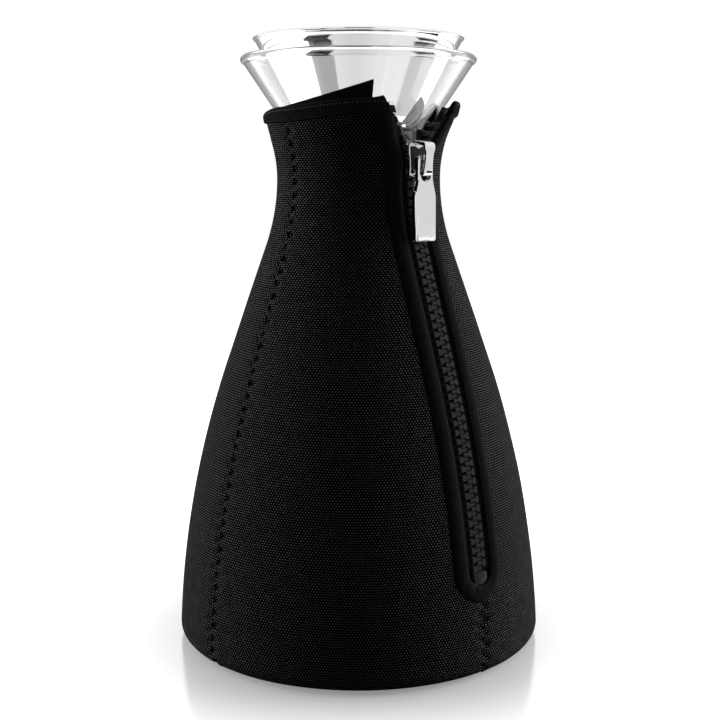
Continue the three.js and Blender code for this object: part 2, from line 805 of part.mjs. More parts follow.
// The pull hangs from the bridge by its eye and lies along the zip below.
function zipPull(frame) {
  const pivot = new THREE.Group();
  pivot.position.set(0, pullSeat, bridgeTop - bridgeBar - pullHang);
  frame.add(pivot);
  carafe.updateMatrixWorld(true);
  const lean = pullLean(pivot.getWorldPosition(new THREE.Vector3()));
  const neck = pullNeck / 2;
  const wide = pullWidth / 2;
  const low = pullTop - pullLength;
  const shoulder = -pullNeckLength;
  const shape = new THREE.Shape();
  shape.moveTo(-wide, low);
  shape.lineTo(wide, low);
  shape.lineTo(wide, shoulder - pullShoulder);
  shape.quadraticCurveTo(wide, shoulder, neck, shoulder + pullShoulder);
  shape.lineTo(neck, pullTop - pullCorner);
  shape.quadraticCurveTo(neck, pullTop, neck - pullCorner, pullTop);
  shape.lineTo(pullCorner - neck, pullTop);
  shape.quadraticCurveTo(-neck, pullTop, -neck, pullTop - pullCorner);
  shape.lineTo(-neck, shoulder + pullShoulder);
  shape.quadraticCurveTo(-wide, shoulder, -wide, shoulder - pullShoulder);
  shape.closePath();
  const eye = new THREE.Path();
  const eyeHalf = eyeWidth / 2;
  const eyeTop = pullTop - pullBar;
  const eyeRound = eyeTop - eyeLength + eyeHalf;
  eye.moveTo(eyeHalf, eyeTop);
  eye.lineTo(-eyeHalf, eyeTop);
  eye.lineTo(-eyeHalf, eyeRound);
  eye.absarc(0, eyeRound, eyeHalf, Math.PI, 2 * Math.PI, false);
  eye.closePath();
  shape.holes.push(eye);
  const mesh = add("zip_pull", plate(shape, pullThickness, 4), "chrome");
  pivot.rotation.x = -(sliderLean + lean);
  pivot.add(mesh);
}

// Pouring funnel, gasket, filter and lid, from the neck's bore inwards

const boreRadius = neckRadius - glassWall;
const gasketOuter = boreRadius - seamGap;
const spigotRadius = gasketOuter - gasketWall - seamGap;
const coneStart = collarStart + spigotRise;
const funnelRim = rimHeight + funnelStand;
const lipBead = steelSheet / 2 + lipProud;
const funnelLipHeight = funnelRim - lipBead;
const funnelLean = Math.atan((funnelRadius - spigotRadius) / (funnelLipHeight - coneStart));
const sheetAcross = steelSheet / Math.cos(funnelLean);

function funnelOuter(height) {
  return spigotRadius + (height - coneStart) * Math.tan(funnelLean);
}

function funnelInner(height) {
  return Math.max(spigotRadius - steelSheet, funnelOuter(height) - sheetAcross);
}

// Height where the funnel's inside leaves the spigot.
const throatHeight = coneStart + (sheetAcross - steelSheet) / Math.tan(funnelLean);

function pouringFunnel() {
  const foot = collarStart - spigotDepth;
  const inner = spigotRadius - steelSheet;
  const lipCentre = [funnelRadius - sheetAcross / 2, funnelLipHeight];
  const lip = beadOver(lipCentre, lipBead, steelSheet, funnelLean);
  const spigot = [[inner, throatHeight], [inner, foot], [spigotRadius, foot], [spigotRadius, coneStart]];
  add("pouring_funnel", turned([...spigot, ...lip, spigot[0]]), "steel");
}

// Silicone sleeve between spigot and glass, with a lip that rests on the curve of the glass collar.
function funnelGasket() {
  const foot = collarStart - gasketDepth;
  const inner = spigotRadius + seamGap;
  const bend = collarBend + glassWall;
  const seat = glassInside.at(glassInside.parts[5].from + bend * Math.asin(gasketLip / bend));
  const outline = [
    [inner, foot],
    [gasketOuter, foot],
    [gasketOuter, collarStart],
    [seat.r - seamGap, seat.z],
    [inner, seat.z],
    [inner, foot],
  ];
  add("funnel_gasket", turned(outline), "silicone");
}

const frameRadius = spigotRadius - steelSheet - runningGap;
const frameBore = frameRadius - frameWall;
const frameTop = throatHeight + frameFlange;
const frameFoot = throatHeight - frameDepth;
const capTop = throatHeight - filterLength + capThickness;
const cageFoot = capTop + seamGap;
const gauzeRadius = frameBore - gauzeInset;

const lidTop = frameTop - lidDrop;
const axleHeight = lidTop - lidThickness - axleDrop;
const axleHalf = frameBore + axleSeat;

// Moulded collar with a flange that rests in the funnel, bored for the lid's axle.
function filterCollar() {
  const flangeOff = runningGap / Math.cos(funnelLean);
  const flangeFoot = throatHeight + flangeOff / Math.tan(funnelLean) - runningGap / Math.tan(funnelLean);
  const flangeTop = funnelInner(frameTop) - flangeOff;
  const collar = turned([
    [frameBore, frameFoot],
    [frameRadius, frameFoot],
    [frameRadius, flangeFoot],
    [flangeTop, frameTop],
    [frameBore, frameTop],
    [frameBore, frameFoot],
  ], filterSteps);
  const pocket = rod(axleRadius + runningGap, 2 * (axleHalf + runningGap), "x");
  pocket.translate(0, 0, axleHeight);
  add("filter_collar", geometryOf(solid(collar).subtract(solid(pocket))), "nylon");
}

// Cage under the collar: ribs and hoops that hold the gauze.
function filterCage() {
  const cageTop = frameFoot - seamGap;
  const ribLength = cageTop - cageFoot;
  const ribDepth = frameRadius - ribInset - gauzeRadius - seamGap;
  const pieces = [];
  for (let i = 0; i < ribCount; i++) {
    const rib = new THREE.BoxGeometry(ribDepth, ribWidth, ribLength);
    rib.translate(frameRadius - ribInset - ribDepth / 2, 0, cageFoot + ribLength / 2);
    pieces.push(rib.rotateZ(((i + 0.5) / ribCount) * 2 * Math.PI));
  }
  const hoopInner = gauzeRadius + seamGap;
  for (let i = 0; i < hoopCount; i++) {
    const low = lerp(cageFoot, cageTop - hoopHeight, i / (hoopCount - 1));
    const high = low + hoopHeight;
    const corners = [[hoopInner, low], [frameRadius, low], [frameRadius, high], [hoopInner, high]];
    pieces.push(turned([...corners, corners[0]], filterSteps));
  }
  add("filter_cage", geometryOf(joined(pieces)), "nylon");
}

function filterGauze() {
  const low = capTop + seamGap;
  const high = frameFoot + gauzeTuck;
  const inner = gauzeRadius - gauze;
  const outline = [[inner, low], [gauzeRadius, low], [gauzeRadius, high], [inner, high], [inner, low]];
  add("filter_mesh", turned(outline, filterSteps), "gauze");
}

function filterEndCap() {
  const foot = capTop - capThickness;
  const plug = gauzeRadius - gauze - seamGap;
  const hollow = plug - plugWall;
  const outline = [
    [0, foot],
    [frameRadius - capChamfer, foot],
    [frameRadius, foot + capChamfer],
    [frameRadius, capTop],
    [plug, capTop],
    [plug, capTop + capPlug],
    [hollow, capTop + capPlug],
    [hollow, capTop - plugFloor],
    [0, capTop - plugFloor],
  ];
  add("filter_end_cap", turned(outline, filterSteps), "nylon");
}

// Tilting lid: a domed steel disc on a boss, turning on an axle across the frame and kept level by
// a weight.
function tiltingLid() {
  const radius = frameBore - lidGap;
  const under = lidTop - lidThickness;
  const domeRadius = radius - lidLedge;
  const dome = [3, 2, 1, 0].map((k) => [(domeRadius * k) / 3, lidTop + lidDome * (1 - (k / 3) ** 2)]);
  const disc = [
    [0, under],
    [radius - lidChamfer, under],
    [radius, under + lidChamfer],
    [radius, lidTop - lidChamfer],
    [radius - lidChamfer, lidTop],
    ...dome,
  ];
  add("lid_disc", turned(disc, filterSteps), "steel");

  const bossTop = under - seamGap;
  const bossFoot = axleHeight - axleRadius - seamGap - bossFloor;
  const block = new THREE.BoxGeometry(bossLength, bossWidth, bossTop - bossFoot);
  block.translate(0, 0, (bossTop + bossFoot) / 2);
  const bore = rod(axleRadius + seamGap, 2 * bossLength, "x").translate(0, 0, axleHeight);
  add("lid_boss", geometryOf(solid(block).subtract(solid(bore))), "nylon");

  add("lid_axle", rod(axleRadius, 2 * axleHalf, "x").translate(0, 0, axleHeight), "steel");

  const stemTop = bossFoot - seamGap;
  const stemMiddle = stemTop - stemLength / 2;
  add("lid_stem", rod(stemRadius, stemLength, "z").translate(0, 0, stemMiddle), "steel");
  const weightTop = stemTop - stemLength - seamGap;
  const foot = weightTop - weightLength;
  const weight = [
    [0, foot],
    [weightRadius - weightChamfer, foot],
    [weightRadius, foot + weightChamfer],
    [weightRadius, weightTop - weightChamfer],
    [weightRadius - weightChamfer, weightTop],
    [0, weightTop],
  ];
  add("lid_counterweight", turned(weight, filterSteps), "steel");
}

glassCarafe();
jacketPanels();
jacketBase();
collarBinding();
zipFacing("zip_facing_left", leftFacing);
zipFacing("zip_facing_right", rightFacing);
zipWelt();
zipChain();
zipBottomStop();
const slider = sliderFrame();
zipSlider(slider);
zipPull(slider);
pouringFunnel();
funnelGasket();
filterCollar();
filterCage();
filterGauze();
filterEndCap();
tiltingLid();

export default carafe;
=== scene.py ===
import bpy
from math import acos, asin, atan, ceil, copysign, cos, dist, exp, pi, radians, sin, sqrt, tan
from mathutils import Matrix, Vector, noise


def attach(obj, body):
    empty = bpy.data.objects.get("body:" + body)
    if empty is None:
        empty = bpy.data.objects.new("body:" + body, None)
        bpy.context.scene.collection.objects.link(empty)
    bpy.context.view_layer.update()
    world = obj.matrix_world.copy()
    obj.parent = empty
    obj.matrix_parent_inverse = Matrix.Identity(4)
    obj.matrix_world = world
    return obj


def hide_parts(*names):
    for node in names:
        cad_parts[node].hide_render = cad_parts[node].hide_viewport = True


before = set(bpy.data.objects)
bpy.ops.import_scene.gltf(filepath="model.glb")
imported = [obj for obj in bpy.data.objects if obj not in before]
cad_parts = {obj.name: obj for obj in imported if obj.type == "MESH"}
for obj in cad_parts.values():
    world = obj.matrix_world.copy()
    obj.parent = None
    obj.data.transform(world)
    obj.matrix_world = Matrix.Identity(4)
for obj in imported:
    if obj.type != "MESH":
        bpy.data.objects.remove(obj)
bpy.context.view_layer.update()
mm = 0.001
upright = pi / 2
fullTurn = 2 * pi
clearance = 0.3
turnSteps = {"fine": 128, "plain": 96, "small": 64, "pin": 32}
smoothAngle = {"turned": 35, "edged": 40, "sheet": 50, "welt": 60, "panel": 70, "band": 75, "stitch": 80}
sides = (("left", -1), ("right", 1))


# Small tools

def deselectAll():
    if bpy.context.object and bpy.context.object.mode != "OBJECT":
        bpy.ops.object.mode_set(mode="OBJECT")
    bpy.ops.object.select_all(action="DESELECT")


def pick(obj):
    deselectAll()
    obj.select_set(True)
    bpy.context.view_layer.objects.active = obj


def addObject(operator, name, **values):
    deselectAll()
    operator(**values)
    bpy.context.object.name = name
    return bpy.context.object


def applyModifier(obj, kind, **values):
    pick(obj)
    modifier = obj.modifiers.new(kind.lower(), kind)
    for key, value in values.items():
        setattr(modifier, key, value)
    bpy.ops.object.modifier_apply(modifier=modifier.name)


def bevelEdges(obj, width, segments):
    limit = radians(50)
    applyModifier(obj, "BEVEL", width=width, segments=segments, limit_method="ANGLE", angle_limit=limit)


def smoothShade(obj, kind):
    pick(obj)
    bpy.ops.object.shade_smooth_by_angle(angle=radians(smoothAngle[kind]))


def editAll(obj):
    pick(obj)
    bpy.ops.object.mode_set(mode="EDIT")
    bpy.ops.mesh.select_all(action="SELECT")


def leaveEdit():
    bpy.ops.object.mode_set(mode="OBJECT")


def tidyMesh(obj, gap=1e-6):
    editAll(obj)
    bpy.ops.mesh.remove_doubles(threshold=gap)
    bpy.ops.mesh.normals_make_consistent(inside=False)
    leaveEdit()


def closeEnds(obj):
    tidyMesh(obj)
    editAll(obj)
    bpy.ops.mesh.fill_holes(sides=0)
    bpy.ops.mesh.normals_make_consistent(inside=False)
    leaveEdit()


def thicken(obj, rise):
    editAll(obj)
    bpy.ops.mesh.extrude_region_move(TRANSFORM_OT_translate={"value": (0, 0, rise)})
    bpy.ops.mesh.select_all(action="SELECT")
    bpy.ops.mesh.normals_make_consistent(inside=False)
    leaveEdit()


def joinAll(name, pieces):
    deselectAll()
    for piece in pieces:
        piece.select_set(True)
    bpy.context.view_layer.objects.active = pieces[0]
    bpy.ops.object.join()
    whole = bpy.context.object
    whole.name = name
    whole.data.name = name
    return whole


def applyPlace(obj):
    pick(obj)
    bpy.ops.object.transform_apply(location=True, rotation=True, scale=True)


def placeBy(obj, matrix):
    obj.matrix_world = matrix
    applyPlace(obj)


def copyAlong(name, model, matrices):
    copies = []
    for matrix in matrices:
        copy = model.copy()
        copy.data = model.data.copy()
        bpy.context.collection.objects.link(copy)
        copy.matrix_world = matrix
        copies.append(copy)
    bpy.data.objects.remove(model)
    whole = joinAll(name, copies)
    applyPlace(whole)
    return whole


slotLooks = {
    "glass": "carafeGlass", "neoprene": "neopreneCloth", "binding": "bindingCloth", "chrome": "chromePlate",
    "zip_tape": "zipTapeCloth", "zip_plastic": "zipPlastic", "steel": "polishedSteel",
    "silicone": "silicone", "nylon": "filterNylon", "gauze": "steelGauze",
}
looks = {}


# Left out of the steel's image and of what shows through glass
def hideFromMirrors(obj):
    obj.visible_glossy = False
    obj.visible_transmission = False


def finishPiece(obj, body, slotName, *replaced, look=None, shade=None, hidden=False):
    if shade:
        smoothShade(obj, shade)
    if hidden:
        hideFromMirrors(obj)
    obj.data.materials.clear()
    obj.data.materials.append(looks[look or slotLooks[slotName]])
    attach(obj, body)
    if replaced:
        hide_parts(*replaced)


def smoothStep(x, low, high):
    t = min(1.0, max(0.0, (x - low) / (high - low)))
    return t * t * (3 - 2 * t)


def lerp(a, b, t):
    return a + (b - a) * t


# Smooth noise over two places, given their rates and a seed
def wobble(x, y, rates):
    return noise.noise(Vector((x * rates[0], y * rates[1], rates[2])))


def mirrored(points):
    return [(-x, y) for x, y in reversed(points)]


# A closed loop of points, which a new circle is set to
def drawLoop(name, points, filled=False):
    kind = "NGON" if filled else "NOTHING"
    obj = addObject(bpy.ops.mesh.primitive_circle_add, name, vertices=len(points), fill_type=kind)
    for vertex, point in zip(obj.data.vertices, points):
        vertex.co = Vector(point)
    return obj


# A profile of (radius, height) in mm, turned about the axis
def turnProfile(name, profile, steps, closed=False):
    obj = drawLoop(name, [(r * mm, 0, z * mm) for r, z in profile])
    if not closed:
        last = len(profile) - 1
        bpy.context.tool_settings.mesh_select_mode = (False, True, False)
        for edge in obj.data.edges:
            edge.select = set(edge.vertices) == {0, last}
        for vertex in obj.data.vertices:
            vertex.select = vertex.index in (0, last)
        bpy.ops.object.mode_set(mode="EDIT")
        bpy.ops.mesh.delete(type="EDGE")
        leaveEdit()
    bpy.context.tool_settings.mesh_select_mode = (True, False, False)
    editAll(obj)
    bpy.ops.mesh.spin(steps=turnSteps[steps], angle=fullTurn, center=(0, 0, 0), axis=(0, 0, 1))
    leaveEdit()
    tidyMesh(obj)
    smoothShade(obj, "turned")
    return obj


def turnPiece(name, profile, steps, body, slotName, node, closed=False):
    finishPiece(turnProfile(name, profile, steps, closed), body, slotName, node)


# A closed run of (radius, height) corners with its corners cut
def cutCorners(corners, cut):
    mostOfSide = 0.45
    points = []
    for i, corner in enumerate(corners):
        here = Vector(corner)
        for other in (corners[i - 1], corners[(i + 1) % len(corners)]):
            way = Vector(other) - here
            points.append(tuple(here + way.normalized() * min(cut, way.length * mostOfSide)))
    return points


# A box with bevelled edges, its centre and size in mm
def makeBox(name, centre, size, bevel, segments):
    box = addObject(bpy.ops.mesh.primitive_cube_add, name, size=1, location=Vector(centre) * mm)
    box.scale = Vector(size) * mm
    applyPlace(box)
    applyModifier(box, "BEVEL", width=bevel * mm, segments=segments)
    return box


# A flat grid, each point then set by place(x, y), where x counts columns and y counts rows
def drawSheet(name, columns, rows, place):
    counts = {"x_subdivisions": columns, "y_subdivisions": rows}
    obj = addObject(bpy.ops.mesh.primitive_grid_add, name, size=2, **counts)
    for vertex in obj.data.vertices:
        x = round((vertex.co.x + 1) / 2 * columns)
        y = round((vertex.co.y + 1) / 2 * rows)
        vertex.co = place(x, y)
    return obj


# A sheet of cloth: place(x, y) gives a point, and where it lies on the flat cloth in mm
def drawCloth(name, columns, rows, place):
    flat = {}

    def lay(x, y):
        point, flat[x, y] = place(x, y)
        return point

    obj = drawSheet(name, columns, rows, lay)
    for loop in obj.data.uv_layers.active.data:
        u, v = flat[round(loop.uv[0] * columns), round(loop.uv[1] * rows)]
        loop.uv = (u * mm, v * mm)
    return obj


# Faces of an open sheet turned away from the axis
def faceOut(obj):
    face = obj.data.polygons[len(obj.data.polygons) // 2]
    away = Vector((face.center.x, face.center.y, 0))
    if face.normal.dot(away) < 0:
        editAll(obj)
        bpy.ops.mesh.flip_normals()
        leaveEdit()


# Outlines of the carafe: runs of arcs and lines, in mm

def along(part, t):
    _, r, z, heading, size, turn = part
    if turn == 0:
        return r + t * cos(heading), z + t * sin(heading), heading
    way = copysign(1, turn)
    end = heading + way * t / size
    dr = way * size * (sin(end) - sin(heading))
    dz = way * size * (cos(heading) - cos(end))
    return r + dr, z + dz, end


def runOutline(r, z, heading, stretches):
    parts = []
    length = 0
    for size, turn in stretches:
        span = size if turn == 0 else size * abs(turn)
        parts.append((length, r, z, heading, size, turn))
        r, z, heading = along(parts[-1], span)
        length += span
    return parts, length


def onOutline(outline, s):
    parts = outline[0]
    part = parts[0]
    for candidate in parts:
        if candidate[0] <= s:
            part = candidate
    return along(part, s - part[0])


def sampleOutline(outline, counts):
    parts, length = outline
    ends = [part[0] for part in parts[1:]] + [length]
    points = []
    for part, end, count in zip(parts, ends, counts):
        points += [along(part, (end - part[0]) * k / count)[:2] for k in range(count)]
    return points + [onOutline(outline, length)[:2]]


glassShape = {
    "neckRadius": 26.7, "neckHeight": 178.7, "neckCurve": 81.3, "flankSlope": radians(19.2),
    "flankLength": 45, "bellyCurve": 379, "heel": 7, "wall": 2.5, "floor": 4, "foot": 4.3,
    "rimRadius": 44.7, "rimRise": 45.6, "rimProud": 0.45, "collarSlope": radians(34),
    "collarBend": 6, "steps": [10, 24, 6, 14, 2, 8, 6], "beadSteps": 16, "held": 0.06,
}

jacketShape = {
    "offset": 4.6, "thickness": 4, "heel": 5, "flareCurve": 47, "flareSlope": radians(14),
    "reach": 9.94, "bandHeight": 5.4, "flapRise": 3, "flapLift": 1.5,
    "flapNear": radians(34), "flapFar": radians(80), "lining": 1.985,
}

zipShape = {
    "slotHalf": 5.3, "weltWidth": 6, "slotEnd": 39, "depth": 0.9, "pitch": 3.3, "toothHeight": 2.6,
    "bodyHalf": 1.15, "stopLength": 4.4, "topStop": 3, "sliderRise": 6.8, "sliderLength": 12,
    "mouth": {-1: tan(radians(24.7)), 1: tan(radians(31.4))}, "mouthEase": 6,
}


def bodyStretches(offset, foot, heel):
    g = glassShape
    lean = upright + g["flankSlope"]
    hollow = g["neckCurve"] - offset
    belly = g["bellyCurve"] + offset
    rise = g["neckHeight"] - foot - heel + (hollow + belly) * cos(lean)
    rise -= g["flankLength"] * sin(lean)
    turned = acos(rise / (belly - heel))
    reach = heel * sin(turned) + belly * (sin(lean) - sin(turned))
    reach += g["flankLength"] * cos(lean) + hollow * (sin(lean) - 1)
    stretches = [(heel, turned), (belly, lean - turned), (g["flankLength"], 0), (hollow, -g["flankSlope"])]
    return g["neckRadius"] + offset - reach, stretches


def collarPlaces():
    g = glassShape
    slope = g["collarSlope"]
    bead = g["wall"] / 2 + g["rimProud"]
    centre = (g["rimRadius"] - bead, g["neckHeight"] + g["rimRise"] - bead)
    endHeight = centre[1] - g["wall"] / 2 * sin(slope)
    reach = centre[0] + g["wall"] / 2 * cos(slope) - g["neckRadius"]
    bendReach = g["collarBend"] * (1 - cos(slope))
    bendRise = g["collarBend"] * sin(slope)
    start = endHeight - (reach - bendReach) / tan(slope) - bendRise
    return bead, centre, endHeight, reach, (reach - bendReach) / sin(slope), start


rimBead, beadCentre, collarEndHeight, collarReach, coneLength, collarStart = collarPlaces()


def glassOutline(offset, foot):
    g = glassShape
    radius, stretches = bodyStretches(offset, foot, g["heel"])
    stretches += [(collarStart - g["neckHeight"], 0), (g["collarBend"] - offset, -g["collarSlope"])]
    return runOutline(radius, foot, 0, stretches + [(coneLength, 0)])


def jacketOutline():
    j = jacketShape
    radius, stretches = bodyStretches(j["offset"], 0, j["heel"])
    top = collarStart + j["reach"]
    bendTop = glassShape["neckHeight"] + j["flareCurve"] * sin(j["flareSlope"])
    flare = (top - bendTop) / cos(j["flareSlope"]) + j["flapRise"]
    return radius, runOutline(radius, 0, 0, stretches + [(j["flareCurve"], -j["flareSlope"]), (flare, 0)])


glassFace = glassOutline(0, glassShape["foot"])
glassInside = glassOutline(-glassShape["wall"], glassShape["foot"] + glassShape["floor"])
baseRadius, jacketFace = jacketOutline()
collarEdge = jacketFace[1] - jacketShape["flapRise"]
neckPlace = jacketFace[0][4][0]


def placeAtHeight(height):
    low, high = 0.0, jacketFace[1]
    for _ in range(50):
        middle = (low + high) / 2
        if onOutline(jacketFace, middle)[1] < height:
            low = middle
        else:
            high = middle
    return low


sliderPlace = placeAtHeight(glassShape["neckHeight"] + zipShape["sliderRise"])
slotEndPlace = placeAtHeight(zipShape["slotEnd"])
forkPlace = sliderPlace - zipShape["sliderLength"] / 4
panelTop = collarEdge - jacketShape["bandHeight"] - clearance
weltOuter = zipShape["slotHalf"] + zipShape["weltWidth"]


# How far the zip's edge on one side stands off, above the slider
def parting(side, s):
    rate = zipShape["mouth"][side]
    ease = zipShape["mouthEase"]
    past = max(0, s - forkPlace)
    return rate * past * past / (2 * ease) if past < ease else rate * (past - ease / 2)


# A point on the jacket, in metres: s along its face, angle from the zip, height over the face
def jacketPoint(s, angle, height):
    j = jacketShape
    r, z, heading = onOutline(jacketFace, s)
    opened = smoothStep(s, sliderPlace + zipShape["sliderLength"] / 2, collarEdge)
    beside = 1 - smoothStep(abs(angle), j["flapNear"], j["flapFar"])
    up = height + j["flapLift"] * opened * beside
    r += up * sin(heading)
    z -= up * cos(heading)
    return Vector((r * sin(angle) * mm, -r * cos(angle) * mm, z * mm))


def zipPoint(across, s, height):
    return jacketPoint(s, across / onOutline(jacketFace, s)[0], height)


def outAt(s, angle):
    return (jacketPoint(s, angle, 1) - jacketPoint(s, angle, 0)).normalized()


def collarRadius(height):
    run = (collarEndHeight - height) * tan(glassShape["collarSlope"])
    return glassShape["neckRadius"] + collarReach - run


# How thick the cloth can be before it meets the lining
def jacketDepth(s):
    r, z, heading = onOutline(jacketFace, s)
    room = r - collarRadius(z) - jacketShape["lining"]
    slope = sin(heading) + tan(glassShape["collarSlope"]) * cos(heading)
    return min(jacketShape["thickness"], room / slope)


# Shader node groups and materials

# A socket is linked to an input, and anything else is set as the input's own value
def fillInputs(tree, node, inputs):
    for label, value in inputs.items():
        if isinstance(value, bpy.types.NodeSocket):
            tree.links.new(value, node.inputs[label])
        else:
            node.inputs[label].default_value = value


def addNode(tree, kind, inputs, **values):
    node = tree.nodes.new(kind)
    for key, value in values.items():
        setattr(node, key, value)
    fillInputs(tree, node, inputs)
    return node.outputs


def mathNode(tree, operation, *values):
    return addNode(tree, "ShaderNodeMath", dict(enumerate(values)), operation=operation)[0]


def noiseNode(tree, vector, scale, detail):
    return addNode(tree, "ShaderNodeTexNoise", {"Vector": vector, "Scale": scale, "Detail": detail})[0]


def rangeNode(tree, value, values, places=(0, 1), kind="LINEAR"):
    inputs = {"Value": value, "From Min": places[0], "From Max": places[1]}
    inputs |= {"To Min": values[0], "To Max": values[1]}
    return addNode(tree, "ShaderNodeMapRange", inputs, interpolation_type=kind)[0]


def fadeNode(tree, value, places, values):
    return rangeNode(tree, value, values, places, "SMOOTHSTEP")


# A group of numbers in and out; an input without a number is a vector
def newGroup(name, inputs, outputs):
    group = bpy.data.node_groups.new(name, "ShaderNodeTree")
    for label, value in inputs.items():
        kind = "NodeSocketVector" if value is None else "NodeSocketFloat"
        socket = group.interface.new_socket(label, in_out="INPUT", socket_type=kind)
        if value is not None:
            socket.default_value = value
    for label in outputs:
        group.interface.new_socket(label, in_out="OUTPUT", socket_type="NodeSocketFloat")
    return group, addNode(group, "NodeGroupInput", {}), group.nodes.new("NodeGroupOutput")


weaveSet = {
    "jitterScale": 420, "jitterDetail": 1, "patchScale": 230, "patchDetail": 2, "grainEdge": (0.1, 0.95),
}


# Rows of grains, each row half a repeat along from the last: Across and Along are the repeats
def makeWeaveGroup():
    w = weaveSet
    inputs = {"Vector": None, "Across": 0.001, "Along": 0.001, "Lean": 0.5, "Rows": 0.2, "Unevenness": 0.1}
    outputs = ("Grains", "Height", "Patches")
    group, entry, leave = newGroup("weaveGrains", inputs, outputs)

    def work(operation, *values):
        return mathNode(group, operation, *values)

    def wave(place, repeats):
        return work("COSINE", work("MULTIPLY", place, repeats * fullTurn))

    def blend(first, second, share):
        rest = work("SUBTRACT", 1, share)
        return work("ADD", work("MULTIPLY", first, rest), work("MULTIPLY", second, share))

    parts = addNode(group, "ShaderNodeSeparateXYZ", {0: entry["Vector"]})
    jitter = noiseNode(group, entry["Vector"], w["jitterScale"], w["jitterDetail"])
    shift = work("MULTIPLY", work("SUBTRACT", jitter, 0.5), entry["Unevenness"])
    x = work("ADD", work("DIVIDE", parts[0], entry["Across"]), shift)
    y = work("SUBTRACT", work("DIVIDE", parts[1], entry["Along"]), shift)
    crossed = blend(wave(work("ADD", x, y), 1), wave(work("SUBTRACT", x, y), 1), entry["Lean"])
    height = blend(crossed, wave(y, 2), entry["Rows"])
    grains = fadeNode(group, height, w["grainEdge"], (0, 1))
    patches = noiseNode(group, entry["Vector"], w["patchScale"], w["patchDetail"])
    fillInputs(group, leave, dict(zip(outputs, (grains, height, patches))))
    return group


grainSet = {"detail": 3, "smearScale": 90, "smearDetail": 2}


# Fine unevenness for moulded, plated and polished surfaces
def makeGrainGroup():
    s = grainSet
    group, entry, leave = newGroup("surfaceGrain", {"Size": 0.001, "Stretch": 1}, ("Grain", "Smears"))
    place = addNode(group, "ShaderNodeTexCoord", {})["Object"]
    fine = mathNode(group, "DIVIDE", 1, entry["Size"])
    tall = mathNode(group, "MULTIPLY", fine, entry["Stretch"])
    scale = addNode(group, "ShaderNodeCombineXYZ", {0: fine, 1: fine, 2: tall})[0]
    sized = addNode(group, "ShaderNodeVectorMath", {0: place, 1: scale}, operation="MULTIPLY")[0]
    grain = noiseNode(group, sized, 1, s["detail"])
    smears = noiseNode(group, place, s["smearScale"], s["smearDetail"])
    fillInputs(group, leave, {"Grain": grain, "Smears": smears})
    return group


weaveGroup = makeWeaveGroup()
grainGroup = makeGrainGroup()


def newMaterial(name, inputs):
    material = bpy.data.materials.new(name)
    material.use_nodes = True
    tree = material.node_tree
    shader = tree.nodes["Principled BSDF"]
    fillInputs(tree, shader, inputs)
    return material, tree, shader


def bumpNode(tree, height, distance, strength=1):
    inputs = {"Height": height, "Distance": distance, "Strength": strength}
    return addNode(tree, "ShaderNodeBump", inputs)[0]


def colourMix(tree, share, low, high):
    return addNode(tree, "ShaderNodeMix", {0: share, 6: (*low, 1), 7: (*high, 1)}, data_type="RGBA")[2]


def clothMaterial(name, look):
    material, tree, shader = newMaterial(name, {
        "Roughness": look["roughness"], "Specular IOR Level": look["specular"],
        "Sheen Weight": look["sheen"], "Sheen Roughness": look["sheenRoughness"],
        "Sheen Tint": (1, 1, 1, 1), "Metallic": look.get("metallic", 0),
    })
    inputs = {label: look[label.lower()] for label in ("Across", "Along", "Lean", "Rows", "Unevenness")}
    inputs["Vector"] = addNode(tree, "ShaderNodeUVMap", {})[0]
    weave = addNode(tree, "ShaderNodeGroup", inputs, node_tree=weaveGroup)
    lit = mathNode(tree, "MULTIPLY", weave["Grains"], rangeNode(tree, weave["Patches"], look["patches"]))
    fillInputs(tree, shader, {
        "Base Color": colourMix(tree, lit, look["gap"], look["thread"]),
        "Normal": bumpNode(tree, weave["Height"], look["relief"]),
    })
    return material


def grainMaterial(name, look):
    material, tree, shader = newMaterial(name, look.get("sockets", {}))
    inputs = {"Size": look["size"], "Stretch": look.get("stretch", 1)}
    grain = addNode(tree, "ShaderNodeGroup", inputs, node_tree=grainGroup)
    fillInputs(tree, shader, {
        "Roughness": rangeNode(tree, grain["Smears"], look["roughness"]),
        "Normal": bumpNode(tree, grain["Grain"], look["relief"], look.get("strength", 1)),
    })
    if "colours" in look:
        fillInputs(tree, shader, {"Base Color": colourMix(tree, grain["Smears"], *look["colours"])})
    return material


